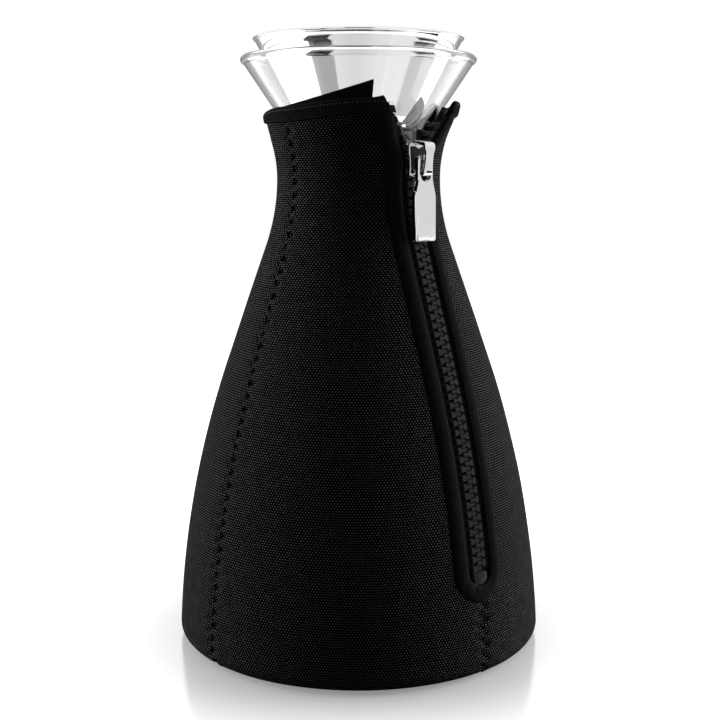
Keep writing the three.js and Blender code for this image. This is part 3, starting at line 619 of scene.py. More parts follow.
clothLooks = {
    "neopreneCloth": {
        "across": 1.145 * mm, "along": 1.82 * mm, "lean": 0.57, "rows": 0.35, "unevenness": 0.2,
        "gap": (0.0025, 0.0025, 0.0026), "thread": (0.114, 0.114, 0.116), "patches": (0.45, 1.25),
        "relief": 0.09 * mm, "roughness": 0.85, "specular": 0, "sheen": 0.006, "sheenRoughness": 0.45,
    },
    "bindingCloth": {
        "across": 0.42 * mm, "along": 0.5 * mm, "lean": 0.6, "rows": 0.1, "unevenness": 0.5,
        "gap": (0.003, 0.003, 0.003), "thread": (0.013, 0.013, 0.013), "patches": (0.4, 1.2),
        "relief": 0.05 * mm, "roughness": 0.7, "specular": 0.02, "sheen": 0.015, "sheenRoughness": 0.4,
    },
    "zipTapeCloth": {
        "across": 0.6 * mm, "along": 0.9 * mm, "lean": 0.5, "rows": 0.2, "unevenness": 0.2,
        "gap": (0.001, 0.001, 0.001), "thread": (0.012, 0.012, 0.012), "patches": (0.5, 1.2),
        "relief": 0.08 * mm, "roughness": 0.8, "specular": 0.02, "sheen": 0.02, "sheenRoughness": 0.5,
    },
    "steelGauze": {
        "across": 0.7 * mm, "along": 0.7 * mm, "lean": 0.5, "rows": 0, "unevenness": 0.02,
        "gap": (0.03, 0.03, 0.03), "thread": (0.75, 0.75, 0.76), "patches": (0.9, 1.1),
        "relief": 0.12 * mm, "roughness": 0.32, "specular": 0.5, "sheen": 0, "sheenRoughness": 0.5,
        "metallic": 1,
    },
}
threadSockets = {"Specular IOR Level": 0.04}
plasticSockets = {"Specular IOR Level": 0.07}
grainLooks = {
    "sewingThread": {
        "size": 0.25 * mm, "roughness": (0.5, 0.75), "relief": 0.05 * mm, "sockets": threadSockets,
        "colours": ((0.012, 0.012, 0.012), (0.03, 0.03, 0.03)),
    },
    "bindingThread": {
        "size": 0.25 * mm, "roughness": (0.45, 0.7), "relief": 0.05 * mm, "sockets": threadSockets,
        "colours": ((0.03, 0.03, 0.03), (0.07, 0.07, 0.07)),
    },
    "zipPlastic": {
        "size": 0.3 * mm, "roughness": (0.36, 0.5), "relief": 0.012 * mm, "sockets": plasticSockets,
        "colours": ((0.011, 0.011, 0.0115), (0.019, 0.019, 0.0195)),
    },
    "filterNylon": {
        "size": 0.4 * mm, "roughness": (0.45, 0.6), "relief": 0.02 * mm,
        "colours": ((0.02, 0.02, 0.021), (0.032, 0.032, 0.034)),
    },
    "chromePlate": {
        "size": 2.5 * mm, "roughness": (0.05, 0.11), "relief": 0.0015 * mm, "sockets": {"Metallic": 1},
        "colours": ((0.74, 0.74, 0.745), (0.83, 0.83, 0.83)),
    },
    "polishedSteel": {
        "size": 0.6 * mm, "stretch": 12, "roughness": (0.03, 0.07), "relief": 0.0006 * mm,
        "sockets": {"Metallic": 1}, "colours": ((0.86, 0.86, 0.865), (0.9, 0.9, 0.9)),
    },
    "silicone": {
        "size": 0.5 * mm, "roughness": (0.3, 0.42), "relief": 0.01 * mm,
        "colours": ((0.018, 0.018, 0.018), (0.03, 0.03, 0.03)),
    },
    "carafeGlass": {
        "size": 14 * mm, "roughness": (0, 0.015), "relief": 0.06 * mm, "strength": 0.4,
        "sockets": {"Base Color": (0.985, 0.99, 0.988, 1), "IOR": 1.47, "Transmission Weight": 1},
    },
}
for lookName, clothLook in clothLooks.items():
    looks[lookName] = clothMaterial(lookName, clothLook)
for lookName, grainLook in grainLooks.items():
    looks[lookName] = grainMaterial(lookName, grainLook)
print("materials ready")


# Camera, surroundings and lights

cameraSet = {
    "azimuth": -40, "distance": 486.04, "height": 182.64, "pitch": 8.756, "yaw": -0.069, "lens": 62.57,
    "sensor": 36, "clip": 10,
}
lightSet = {"worldDiffuse": 0.1, "aim": 110, "size": 700}
lampSet = {
    "leftSoftbox": {"azimuth": -145, "height": 320, "distance": 800, "power": 13.5},
    "rightSoftbox": {"azimuth": 65, "height": 320, "distance": 800, "power": 17},
    "topSoftbox": {"azimuth": 140, "height": 1100, "distance": 200, "power": 4},
}


def spotAt(azimuth, distance, height):
    a = radians(azimuth)
    return Vector((distance * sin(a), -distance * cos(a), height)) * mm


def makeCamera():
    c = cameraSet
    place = spotAt(c["azimuth"], c["distance"], c["height"])
    turn = (radians(90 - c["pitch"]), 0, radians(c["azimuth"] + c["yaw"]))
    camera = addObject(bpy.ops.object.camera_add, "camera", location=place, rotation=turn)
    camera.data.lens = c["lens"]
    camera.data.sensor_width = c["sensor"]
    camera.data.clip_start = c["clip"] * mm
    bpy.context.scene.camera = camera


# White to the camera, in mirrors and through glass; a plain grey light otherwise
def makeWorld():
    world = bpy.data.worlds.new("studioWhite")
    bpy.context.scene.world = world
    world.use_nodes = True
    tree = world.node_tree
    path = addNode(tree, "ShaderNodeLightPath", {})
    seen = mathNode(tree, "MAXIMUM", path["Is Camera Ray"], path["Is Glossy Ray"])
    seen = mathNode(tree, "MAXIMUM", seen, path["Is Transmission Ray"])
    strength = rangeNode(tree, seen, (lightSet["worldDiffuse"], 1))
    fillInputs(tree, tree.nodes["Background"], {"Color": (1, 1, 1, 1), "Strength": strength})


def makeLights():
    for name, area in lampSet.items():
        place = spotAt(area["azimuth"], area["distance"], area["height"])
        lamp = addObject(bpy.ops.object.light_add, name, type="AREA", location=place)
        lamp.data.energy = area["power"]
        lamp.data.size = lightSet["size"] * mm
        aim = Vector((0, 0, lightSet["aim"] * mm)) - place
        lamp.rotation_euler = aim.to_track_quat("-Z", "Y").to_euler()
        hideFromMirrors(lamp)


# The glow's near value and the radii over which it fades paint a shadow round the carafe's foot
floorSet = {
    "size": 9000, "sink": 0.2, "white": (0.5, 0.5, 0.5, 1), "glow": (0.5, 0.95), "paintedShadePlace": (0.064, 0.11),
    "shine": (0.5, 0), "shinePlace": (0.06, 0.2), "shineRough": 0.16,
}


# A white floor that keeps the carafe's shadow, with a faint reflection near its foot. Its glow is dimmed
# towards the foot: a painted shadow round the carafe
def makeFloor():
    f = floorSet
    place = (0, 0, -f["sink"] * mm)
    floor = addObject(bpy.ops.mesh.primitive_plane_add, "floor", size=f["size"] * mm, location=place)
    material, tree, shader = newMaterial("floorWhite", {
        "Base Color": f["white"], "Roughness": 1, "Specular IOR Level": 0, "Emission Color": (1, 1, 1, 1),
    })
    place = addNode(tree, "ShaderNodeTexCoord", {})["Object"]
    away = addNode(tree, "ShaderNodeVectorMath", {0: place}, operation="LENGTH")["Value"]
    # Glow weaker near the foot than far out: painted shadow round the carafe's foot
    fillInputs(tree, shader, {"Emission Strength": fadeNode(tree, away, f["paintedShadePlace"], f["glow"])})
    gloss = addNode(tree, "ShaderNodeBsdfGlossy", {"Roughness": f["shineRough"]})[0]
    share = fadeNode(tree, away, f["shinePlace"], f["shine"])
    mix = addNode(tree, "ShaderNodeMixShader", {0: share, 1: shader.outputs[0], 2: gloss})[0]
    fillInputs(tree, tree.nodes["Material Output"], {"Surface": mix})
    floor.data.materials.append(material)
    floor.visible_diffuse = False


makeCamera()
makeWorld()
makeLights()
bpy.context.scene.view_settings.view_transform = "Standard"
makeFloor()
print("camera, floor and lights ready")


# Glass carafe

carafeBody = "jacketed_glass"


def beadOver(centre, radius, wall, lean, steps):
    spread = acos(wall / 2 / radius)
    turns = [lerp(-lean - spread, pi - lean + spread, k / steps) for k in range(steps + 1)]
    return [(centre[0] + radius * cos(a), centre[1] + radius * sin(a)) for a in turns]


# Two points close to the ends of a straight stretch, which keep its shading straight
def heldEnds(start, end, near):
    return [tuple(Vector(start).lerp(Vector(end), t)) for t in (near, 1 - near)]


def makeGlass():
    g = glassShape
    face = sampleOutline(glassFace, g["steps"])
    inside = sampleOutline(glassInside, g["steps"])
    bead = beadOver(beadCentre, rimBead, g["wall"], g["collarSlope"], g["beadSteps"])
    outer = face[:-1] + heldEnds(face[-2], bead[0], g["held"])
    inner = heldEnds(bead[-1], inside[-2], g["held"]) + inside[::-1][1:]
    profile = [(0, face[0][1])] + outer + bead + inner + [(0, inside[0][1])]
    turnPiece("glass_body", profile, "fine", carafeBody, "glass", "glass_carafe")


makeGlass()
print("glass ready")


# Pouring funnel and gasket

funnelShape = {
    "sheet": 0.8, "stand": 6.9, "radius": 39.6, "lipProud": 0.35, "lipSteps": 14, "held": 0.02,
    "spigotDepth": 14, "spigotRise": 4.9, "footCut": (0.2, 0.3),
}
gasketSet = {
    "wall": 1, "depth": 13, "lip": 3, "footCut": (0.3, 0.4), "lipCut": 0.3,
    "ribs": 3, "ribStart": 2.5, "ribStep": 2.6, "ribHalf": 0.5, "ribDepth": 0.35,
}
funnelBore = glassShape["neckRadius"] - glassShape["wall"]
gasketOuter = funnelBore - clearance
spigotRadius = gasketOuter - gasketSet["wall"] - clearance
coneStart = collarStart + funnelShape["spigotRise"]
lipBead = funnelShape["sheet"] / 2 + funnelShape["lipProud"]
lipHeight = glassShape["neckHeight"] + glassShape["rimRise"] + funnelShape["stand"] - lipBead
funnelLean = atan((funnelShape["radius"] - spigotRadius) / (lipHeight - coneStart))
sheetAcross = funnelShape["sheet"] / cos(funnelLean)
throatHeight = coneStart + (sheetAcross - funnelShape["sheet"]) / tan(funnelLean)


def makeFunnel():
    f = funnelShape
    foot = collarStart - f["spigotDepth"]
    inner = spigotRadius - f["sheet"]
    cut, rise = f["footCut"]
    centre = (f["radius"] - sheetAcross / 2, lipHeight)
    lip = beadOver(centre, lipBead, f["sheet"], funnelLean, f["lipSteps"])
    throat = (inner, throatHeight)
    shoulder = (spigotRadius, coneStart)
    profile = [throat, (inner, foot + rise), (inner + cut, foot), (spigotRadius - cut, foot)]
    profile += [(spigotRadius, foot + rise), shoulder] + heldEnds(shoulder, lip[0], f["held"])
    profile += lip + heldEnds(lip[-1], throat, f["held"])
    turnPiece("funnel_cone", profile, "fine", "funnel", "steel", "pouring_funnel", closed=True)


def makeGasket():
    g = gasketSet
    bend = glassShape["collarBend"] + glassShape["wall"]
    seatRadius, seat, _ = onOutline(glassInside, glassInside[0][5][0] + bend * asin(g["lip"] / bend))
    inner = spigotRadius + clearance
    low = collarStart - g["depth"]
    sleeve = [(inner, low), (gasketOuter - g["footCut"][0], low), (gasketOuter, low + g["footCut"][1])]
    for k in range(g["ribs"]):
        rib = low + g["ribStart"] + g["ribStep"] * k
        dip = gasketOuter - g["ribDepth"]
        sleeve += [(dip, rib), (gasketOuter, rib + g["ribHalf"]), (dip, rib + 2 * g["ribHalf"])]
    sleeve += [(gasketOuter, collarStart), (seatRadius - g["lipCut"], seat - g["lipCut"])]
    sleeve += [(seatRadius - 2 * g["lipCut"], seat), (inner, seat)]
    turnPiece("gasket_sleeve", sleeve, "plain", "funnel", "silicone", "funnel_gasket", closed=True)


makeFunnel()
makeGasket()
print("funnel ready")


# Cards that only mirrors and glass see

cardSet = {"columns": 24, "rise": 2, "middle": 0.4, "spread": 0.5}
# On the floor, given by where the camera finds them in the steel: turns from the camera's azimuth and
# height on the cone, up to another height or out to a distance
floorCards = {
    "barLeft": {"turns": (-28, -14), "low": 225.5, "far": 1500, "light": (0.002, 0.002)},
    "barRight": {"turns": (31, 47), "low": 225.5, "far": 740, "light": (0.002, 0.002)},
    "barLeftLow": {"turns": (-28, -14), "low": 200, "high": 225.5, "light": (0.38, 0.38)},
    "barRightLow": {"turns": (31, 51), "low": 200, "high": 225.5, "light": (0.62, 0.62)},
    "greyMiddle": {"turns": (-14, 15.6), "low": 200, "far": 1500, "light": (0.86, 0.74)},
    "paleRight": {"turns": (15.6, 31), "low": 200, "far": 1500, "light": (0.94, 0.9)},
}
# Behind and beside the carafe, upright or flat on the floor: azimuths, distances and heights
wallCards = {
    "cardFront": {"turns": (-55, -25), "away": (700, 700), "heights": (390, 690), "light": 0.02},
    "greyRight": {"turns": (22, 70), "away": (760, 760), "heights": (5, 400), "light": 0.84},
    "darkFront": {"turns": (-80, -22), "away": (1550, 1550), "heights": (5, 420), "light": 0.03},
    "behind": {"turns": (95, 185), "away": (1700, 1700), "heights": (5, 420), "light": 0.33},
    "floorLeft": {"turns": (146, 176), "away": (210, 1690), "heights": (2, 2), "light": 0.45},
    "floorRight": {"turns": (104, 134), "away": (210, 1690), "heights": (2, 2), "light": 0.45},
}


def cardMaterial(name, edge, middle):
    material, tree, shader = newMaterial(name, {})
    tree.nodes.remove(shader)
    parts = addNode(tree, "ShaderNodeSeparateXYZ", {0: addNode(tree, "ShaderNodeUVMap", {})[0]})
    aside = mathNode(tree, "ABSOLUTE", mathNode(tree, "SUBTRACT", parts[0], cardSet["middle"]))
    glow = fadeNode(tree, aside, (0, cardSet["spread"]), (middle, edge))
    light = addNode(tree, "ShaderNodeEmission", {"Strength": glow})[0]
    fillInputs(tree, tree.nodes["Material Output"], {"Surface": light})
    return material


# Where the camera sees the floor in the funnel's steel
def mirroredSpot(turn, height):
    c = cameraSet
    angle = radians(c["azimuth"] + turn)
    radius = spigotRadius + (height - coneStart) * tan(funnelLean)
    spot = spotAt(c["azimuth"] + turn, radius, height)
    flat = cos(funnelLean)
    out = Vector((sin(angle) * flat, -cos(angle) * flat, -sin(funnelLean)))
    ray = (spot - spotAt(c["azimuth"], c["distance"], c["height"])).reflect(out)
    return spot + ray * ((cardSet["rise"] * mm - spot.z) / ray.z)


def onFloor(card, turn, y):
    spot = mirroredSpot(turn, card["high"] if y and "high" in card else card["low"])
    if y and "far" in card:
        return Vector((*spot.xy.normalized() * card["far"] * mm, spot.z))
    return spot


def onWall(card, turn, y):
    return spotAt(turn, lerp(*card["away"], y), lerp(*card["heights"], y))


def makeCard(name, card, put, edge, middle):
    columns = cardSet["columns"]
    sheet = drawSheet(name, columns, 1, lambda x, y: put(card, lerp(*card["turns"], x / columns), y))
    sheet.data.materials.append(cardMaterial(name, edge, middle))
    sheet.visible_camera = False
    sheet.visible_diffuse = False
    sheet.visible_shadow = False


for cardName, floorCard in floorCards.items():
    makeCard(cardName, floorCard, onFloor, *floorCard["light"])
for cardName, wallCard in wallCards.items():
    makeCard(cardName, wallCard, onWall, wallCard["light"], wallCard["light"])


# Jacket panels

panelSet = {
    "nearColumns": [0, 0.3, 0.6, 0.9, 1.2, 1.5, 1.8, 2.2, 2.8, 3.8, 5.5], "middleColumns": 30,
    "rowStep": 0.8, "curveRows": 12, "curveGap": 0.15, "seamHalf": 0.05, "tuck": 0.7, "edgeRoll": 0.9,
    "rollWidth": 1.7, "seamRoll": 0.1, "seamWidth": 0.7, "valleyWidth": 1.5, "seamReach": 4.5,
    "pitch": 4.75, "pitDepth": 1.45, "pitSize": 1.2, "pitShare": (0.75, 0.5), "pitNoise": (2.3, 5.7, 1.5),
    "rowOffset": 1.6, "needle": 0.45, "needleNoise": (1.7, 9.1, 0.5), "puff": 0.35, "puffPlace": 1.5,
    "puffWidth": 1.5, "swell": 0.14, "swellSize": 26, "swellPlace": (2, 12), "loosePlace": (95, 165),
    "repeatAcross": (1.145, 1.42), "repeatRow": (0.91, 0.79),
}
# For each row of stitches, how deep its pits are and how far the cloth is drawn down along it
rowPits = (1.0, 0.7, 0.95, 0.75, 0.75, 0.95, 0.95, 0.75)
rowDrawn = (0.3, 0.3, 0.3, 0.05, 0.05, 0.3, 0.3, 0.05)
panelRadius = weltOuter - panelSet["tuck"]


def panelEdge(side, s):
    below = slotEndPlace - s
    if below >= panelRadius:
        return panelSet["seamHalf"]
    if below > 0:
        return max(panelSet["seamHalf"], sqrt(panelRadius * panelRadius - below * below))
    return panelRadius + parting(side, s)


def panelRows(front):
    p = panelSet
    count = round(panelTop / p["rowStep"])
    rows = [panelTop * k / count for k in range(count + 1)]
    if front:
        turns = [k / (2 * p["curveRows"]) * upright for k in range(p["curveRows"])]
        curve = [slotEndPlace - panelRadius * cos(turn) for turn in turns]
        rows = [s for s in rows if all(abs(s - c) > p["curveGap"] for c in curve)] + curve
    return sorted(rows)


# The weave's repeat, which changes from the belly up to the neck
def repeatAt(s, key):
    height = onOutline(jacketFace, s)[1]
    return lerp(*panelSet[key], smoothStep(height, *panelSet["loosePlace"]))


# Where the needle goes in, a little unevenly
def stitchPlace(row, k):
    p = panelSet
    shift = 0.5 if row % 2 else 0.0
    return (k + shift) * p["pitch"] + p["needle"] * wobble(k, row, p["needleNoise"])


def seamFloor(d, row):
    p = panelSet
    rolled = p["seamRoll"] * (1 - smoothStep(d, 0, p["seamWidth"]))
    return -rolled - rowDrawn[row] * exp(-(d / p["valleyWidth"]) ** 2)


# Height of the cloth beside a sewn seam: rolled edge, needle pits, and a puff between them
def seamRelief(d, s, row, sewn):
    p = panelSet
    if not sewn:
        return -p["edgeRoll"] * (1 - smoothStep(d, 0, p["rollWidth"]))
    height = seamFloor(d, row)
    if d > p["seamReach"]:
        return height
    first = int(s / p["pitch"])
    for k in (first - 1, first, first + 1):
        off = (s - stitchPlace(row, k)) ** 2 + (d - p["rowOffset"]) ** 2
        uneven = p["pitShare"][0] + p["pitShare"][1] * wobble(k, row, p["pitNoise"])
        height -= p["pitDepth"] * uneven * rowPits[row] * exp(-off / p["pitSize"] ** 2)
    swing = 0.5 - 0.5 * cos(fullTurn * (s - stitchPlace(row, first)) / p["pitch"])
    return height + p["puff"] * swing * exp(-((d - p["puffPlace"]) / p["puffWidth"]) ** 2)


def makePanel(name, side, front, rowNumbers):
    p = panelSet
    rows = panelRows(front)
    near = p["nearColumns"]
    thick = jacketShape["thickness"]
    columns = 2 * (len(near) - 1) + p["middleColumns"]
    centre = side * upright * (0.5 if front else 1.5)
    roundEnd = slotEndPlace - weltOuter + p["tuck"]
    depths = []
    laid = [0.0]
    for low, high in zip(rows, rows[1:]):
        laid.append(laid[-1] + (high - low) * p["repeatRow"][0] / repeatAt(low, "repeatRow"))

    def edges(s, r):
        half = p["seamHalf"] / r
        if front:
            return side * panelEdge(side, s) / r, side * (upright - half)
        return side * (upright + half), side * (2 * upright - half)

    def place(x, y):
        s = rows[y]
        r = onOutline(jacketFace, s)[0]
        first, last = edges(s, r)
        width = abs(last - first) * r
        if x < len(near):
            d = near[x]
        elif x > columns - len(near):
            d = width - near[columns - x]
        else:
            d = lerp(near[-1], width - near[-1], (x - len(near) + 1) / p["middleColumns"])
        share = d / width
        if front and s > neckPlace:
            rise = jacketShape["flapRise"] * (1 - smoothStep(share, 0, 1))
            s += rise * (s - neckPlace) / (panelTop - neckPlace)
        r, z, _ = onOutline(jacketFace, s)
        angle = lerp(*edges(s, r), share)
        sewnFirst = not front or s < roundEnd
        height = seamRelief(d, s, rowNumbers[0], sewnFirst) + seamRelief(width - d, s, rowNumbers[1], True)
        calm = smoothStep(min(d, width - d), *p["swellPlace"])
        spot = Vector((r * sin(angle), r * cos(angle), z)) / p["swellSize"]
        height += p["swell"] * calm * noise.noise(spot)
        depths.append(jacketDepth(s) / thick)
        across = (angle - centre) * r * p["repeatAcross"][0] / repeatAt(s, "repeatAcross")
        return jacketPoint(s, angle, height), (across, laid[y])

    panel = drawCloth(name, columns, len(rows) - 1, place)
    group = panel.vertex_groups.new(name="depth")
    for index, depth in enumerate(depths):
        group.add([index], depth, "REPLACE")
    faceOut(panel)
    applyModifier(panel, "SOLIDIFY", thickness=thick * mm, offset=-1, vertex_group="depth")
    finishPiece(panel, carafeBody, "neoprene", "jacket_" + name, shade="panel")


makePanel("panel_front_left", -1, True, (1, 2))
makePanel("panel_front_right", 1, True, (0, 5))
makePanel("panel_back_left", -1, False, (3, 6))
makePanel("panel_back_right", 1, False, (4, 7))
print("jacket panels ready")


# Sewing

seamThread = {"look": "sewingThread", "radius": 0.2, "gap": 0.75, "sink": 0.35, "deep": 0.1, "start": 2}
stitchSteps = {"segments": 8, "ring_count": 6}


# One stitch along X, its ends pulled down
def makeStitch(length, radius, sink):
    stitch = addObject(bpy.ops.mesh.primitive_uv_sphere_add, "stitch", radius=1, **stitchSteps)
    editAll(stitch)
    bpy.ops.transform.rotate(value=upright, orient_axis="Y", center_override=(0, 0, 0))
    bpy.ops.transform.resize(value=(length / 2 * mm, radius * mm, radius * mm), center_override=(0, 0, 0))
    leaveEdit()
    for vertex in stitch.data.vertices:
        reach = vertex.co.x / (length / 2 * mm)
        vertex.co.z -= sink * mm * reach * reach
    return stitch


def stitchFrame(start, end, out):
    ahead = (end - start).normalized()
    side = out.cross(ahead).normalized()
    up = ahead.cross(side)
    turn = Matrix((ahead, side, up)).transposed().to_4x4()
    return Matrix.Translation((start + end) / 2) @ turn


def sewRow(name, length, thread, frames, slotName, hidden=True):
    row = copyAlong(name, makeStitch(length, thread["radius"], thread["sink"]), frames)
    finishPiece(row, carafeBody, slotName, look=thread["look"], shade="stitch", hidden=hidden)


# Two rows of stitches beside one seam, up to some height
def sewSeam(name, angle, high, rowNumbers):
    p = panelSet
    t = seamThread
    frames = []
    for way, row in zip((-1, 1), rowNumbers):
        for k in range(ceil(t["start"] / p["pitch"]), int(high / p["pitch"])):
            ends = []
            for s in (stitchPlace(row, k) + t["gap"] / 2, stitchPlace(row, k + 1) - t["gap"] / 2):
                turn = angle + way * p["rowOffset"] / onOutline(jacketFace, s)[0]
                ends.append(jacketPoint(s, turn, seamFloor(p["rowOffset"], row) - t["deep"]))
            frames.append(stitchFrame(*ends, outAt(stitchPlace(row, k), angle)))
    sewRow(name, p["pitch"] - t["gap"], t, frames, "neoprene", hidden=False)


sewSeam("stitches_left_seam", -upright, panelTop, (3, 2))
sewSeam("stitches_right_seam", upright, panelTop, (5, 4))
sewSeam("stitches_back_seam", pi, panelTop, (6, 7))
sewSeam("stitches_front_seam", 0, slotEndPlace - weltOuter, (1, 0))
print("seams sewn")


# Jacket base

baseSet = {"gap": 0.5, "thickness": 4, "edge": 0.9, "edgeSteps": 5}


# A map laid straight down on a piece, in metres
def flatMap(obj):
    if not obj.data.uv_layers:
        obj.data.uv_layers.new(name="UVMap")
    layer = obj.data.uv_layers.active.data
    for loop in obj.data.loops:
        layer[loop.index].uv = obj.data.vertices[loop.vertex_index].co.xy


def makeBase():
    b = baseSet
    radius = baseRadius - b["gap"]
    turns = [k / b["edgeSteps"] * upright for k in range(b["edgeSteps"] + 1)]
    corner = [(radius - b["edge"] * (1 - sin(a)), b["edge"] * (1 - cos(a))) for a in turns]
    top = [(r, b["thickness"] - z) for r, z in corner[::-1]]
    base = turnProfile("base_disc", [(0, 0)] + corner + top + [(0, b["thickness"])], "fine")
    flatMap(base)
    finishPiece(base, carafeBody, "neoprene", "jacket_base")


makeBase()


# Collar binding

bindingSet = {
    "columns": 760, "proud": 0.85, "inside": 0.05, "rowWidth": 0.7, "gather": 0.16, "gatherPitch": 1.3,
    "gatherShare": (0.55, 0.9), "gatherFoot": (0, 0.15), "gatherHead": (0.6, 0.85), "ruckShift": 2.5,
    "ruckNoise": (1 / 2.6, 1.5, 3), "lump": 0.55, "lumpReach": 5, "lumpRise": 0.4,
    "lumpNoise": (0.9, 0.7, 8), "endRise": (1.0, 0.2), "endReach": 7, "corner": 2.6, "cornerReach": 2.4,
    "short": (1.6, 0.2), "backDrop": 2.0, "backPlace": (radians(92), radians(130)),
}
bindingThread = {
    "look": "bindingThread", "radius": 0.17, "sink": 0.2, "pitch": 1.42, "length": 0.95, "overlap": 0.2,
    "down": 1.15, "start": 2, "sit": 0.9,
}
# Section of the folded band: (share of its height, share of its thickness), outside first
bandSection = [
    (0.0, 0.0), (0.02, 0.55), (0.1, 0.95), (0.25, 1.0), (0.45, 0.92), (0.62, 0.96), (0.78, 0.9), (0.9, 0.7),
    (0.975, 0.3), (1.0, -0.2), (0.96, -0.75), (0.85, -1.0), (0.5, -1.0), (0.15, -1.0), (0.02, -0.9),
    (0.0, -0.4),
]
mouthPlace = collarEdge - jacketShape["bandHeight"] + jacketShape["flapRise"]
mouthRadius = onOutline(jacketFace, mouthPlace)[0]
mouthAngle = {side: (zipShape["slotHalf"] + parting(side, mouthPlace)) / mouthRadius for _, side in sides}
edgeRadius = onOutline(jacketFace, collarEdge)[0]
bandLength = (fullTurn - mouthAngle[-1] - mouthAngle[1]) * edgeRadius


def flapStanding(turn):
    edge = mouthAngle[copysign(1, turn)] + zipShape["weltWidth"] / edgeRadius
    return jacketShape["flapRise"] * (1 - smoothStep(abs(turn), edge, upright))


# The band's upper edge: high at the flaps, and lower behind than at the sides
def bandTop(turn):
    b = bindingSet
    return collarEdge + flapStanding(turn) - b["backDrop"] * smoothStep(abs(turn), *b["backPlace"])


def bandAngle(share):
    shortLeft, shortRight = bindingSet["short"]
    first = -mouthAngle[-1] - shortLeft / edgeRadius
    angle = lerp(first, mouthAngle[1] + shortRight / edgeRadius - fullTurn, share)
    return angle + fullTurn if angle < -pi else angle


def bandHeight(upShare, outShare, s, arc):
    b = bindingSet
    if outShare < 0:
        return outShare * (jacketDepth(s) - b["inside"])
    ruck = wobble(arc, upShare, b["ruckNoise"])
    wave = sin(fullTurn * arc / b["gatherPitch"] + b["ruckShift"] * ruck)
    strength = smoothStep(upShare, *b["gatherFoot"]) * (1 - smoothStep(upShare, *b["gatherHead"]))
    strength *= b["gatherShare"][0] + b["gatherShare"][1] * abs(ruck)
    return outShare * b["proud"] + b["gather"] * wave * strength


def makeBinding():
    b = bindingSet
    rows = len(bandSection)

    def place(x, y):
        share = x / b["columns"]
        turn = bandAngle(share)
        upShare, outShare = bandSection[y % rows]
        low = collarEdge - jacketShape["bandHeight"] + flapStanding(turn)
        s = lerp(low, bandTop(turn), upShare)
        arc = share * bandLength
        height = bandHeight(upShare, outShare, s, arc)
        toEnd = min(arc, bandLength - arc)
        rise = b["endRise"][0 if turn < 0 and share < 0.5 else 1]
        s += upShare * rise * (1 - smoothStep(toEnd, 0, b["endReach"]))
        s -= upShare * b["corner"] * (1 - smoothStep(toEnd, 0, b["cornerReach"]))
        ragged = b["lump"] * (1 - smoothStep(toEnd, 0, b["lumpReach"])) * wobble(arc, y, b["lumpNoise"])
        return jacketPoint(s + ragged, turn, height + b["lumpRise"] * ragged), (arc, y * b["rowWidth"])

    band = drawCloth("binding_band", b["columns"], rows, place)
    closeEnds(band)
    finishPiece(band, carafeBody, "binding", "collar_binding", shade="band", hidden=True)


def sewBinding():
    t = bindingThread
    frames = []
    sit = bindingSet["proud"] * t["sit"]
    for k in range(int((bandLength - 2 * t["start"]) / t["pitch"])):
        start = t["start"] + k * t["pitch"]
        turns = [bandAngle(arc / bandLength) for arc in (start, start + t["length"])]
        ends = [jacketPoint(bandTop(turn) - t["down"], turn, sit) for turn in turns]
        frames.append(stitchFrame(*ends, outAt(collarEdge, turns[1])))
    sewRow("stitches_binding", t["length"] + t["overlap"], t, frames, "binding")


makeBinding()
sewBinding()
print("binding ready")


# Lining inside the flaps

liningSet = {
    "columns": 60, "rows": 14, "thickness": 0.8, "off": 0.1, "start": 5.14, "sweep": 2.2, "dropEnd": 0.25,
    "fray": 0.012, "frayAlong": (0.93, 1), "frayUp": (0.3, 1), "frayNoise": (0.9, 2), "frayTurn": 5,
    "ripple": 0.12, "rippleUp": (0.2, 0.8), "rippleNoise": (0.35, 0.2, 5),
}
linings = {
    "lining_left": {
        "node": "zip_facing_left", "turns": (radians(-128), radians(-32)), "rise": (-0.6, 8.7),
        "drop": 2.0, "flat": (0.056, 0.017), "area": 0.00053,
    },
    "lining_right": {
        "node": "zip_facing_right", "turns": (radians(70), radians(33)), "rise": (-3.5, -1.5),
        "drop": 0, "flat": (0.0216, 0.01), "area": 0.00008,
    },
}


def makeLining(name, f):
    n = liningSet
    foot = collarStart + n["start"]

    def place(x, y):
        share, up = x / n["columns"], y / n["rows"]
        top = collarStart + jacketShape["reach"] + lerp(*f["rise"], share ** n["sweep"])
        top -= f["drop"] * (1 - smoothStep(share, 0, n["dropEnd"]))
        height = lerp(foot, top, up)
        angle = lerp(*f["turns"], share)
        fray = n["fray"] * smoothStep(share, *n["frayAlong"]) * smoothStep(up, *n["frayUp"])
        angle += fray * wobble(y, 1, (*n["frayNoise"], f["turns"][1] * n["frayTurn"]))
        ripple = n["ripple"] * smoothStep(up, *n["rippleUp"]) * wobble(x, y, n["rippleNoise"])
        off = clearance + n["thickness"] / 2 + n["off"] + ripple
        r = collarRadius(height) + off / cos(glassShape["collarSlope"])
        return Vector((r * sin(angle), -r * cos(angle), height)) * mm, (angle * r, height)

    lining = drawCloth(name, n["columns"], n["rows"], place)
    faceOut(lining)
    applyModifier(lining, "SOLIDIFY", thickness=n["thickness"] * mm, offset=0)
    finishPiece(lining, carafeBody, "binding", f["node"], shade="sheet", hidden=True)


for liningName, liningCut in linings.items():
    makeLining(liningName, liningCut)
print("lining ready")


# Zip

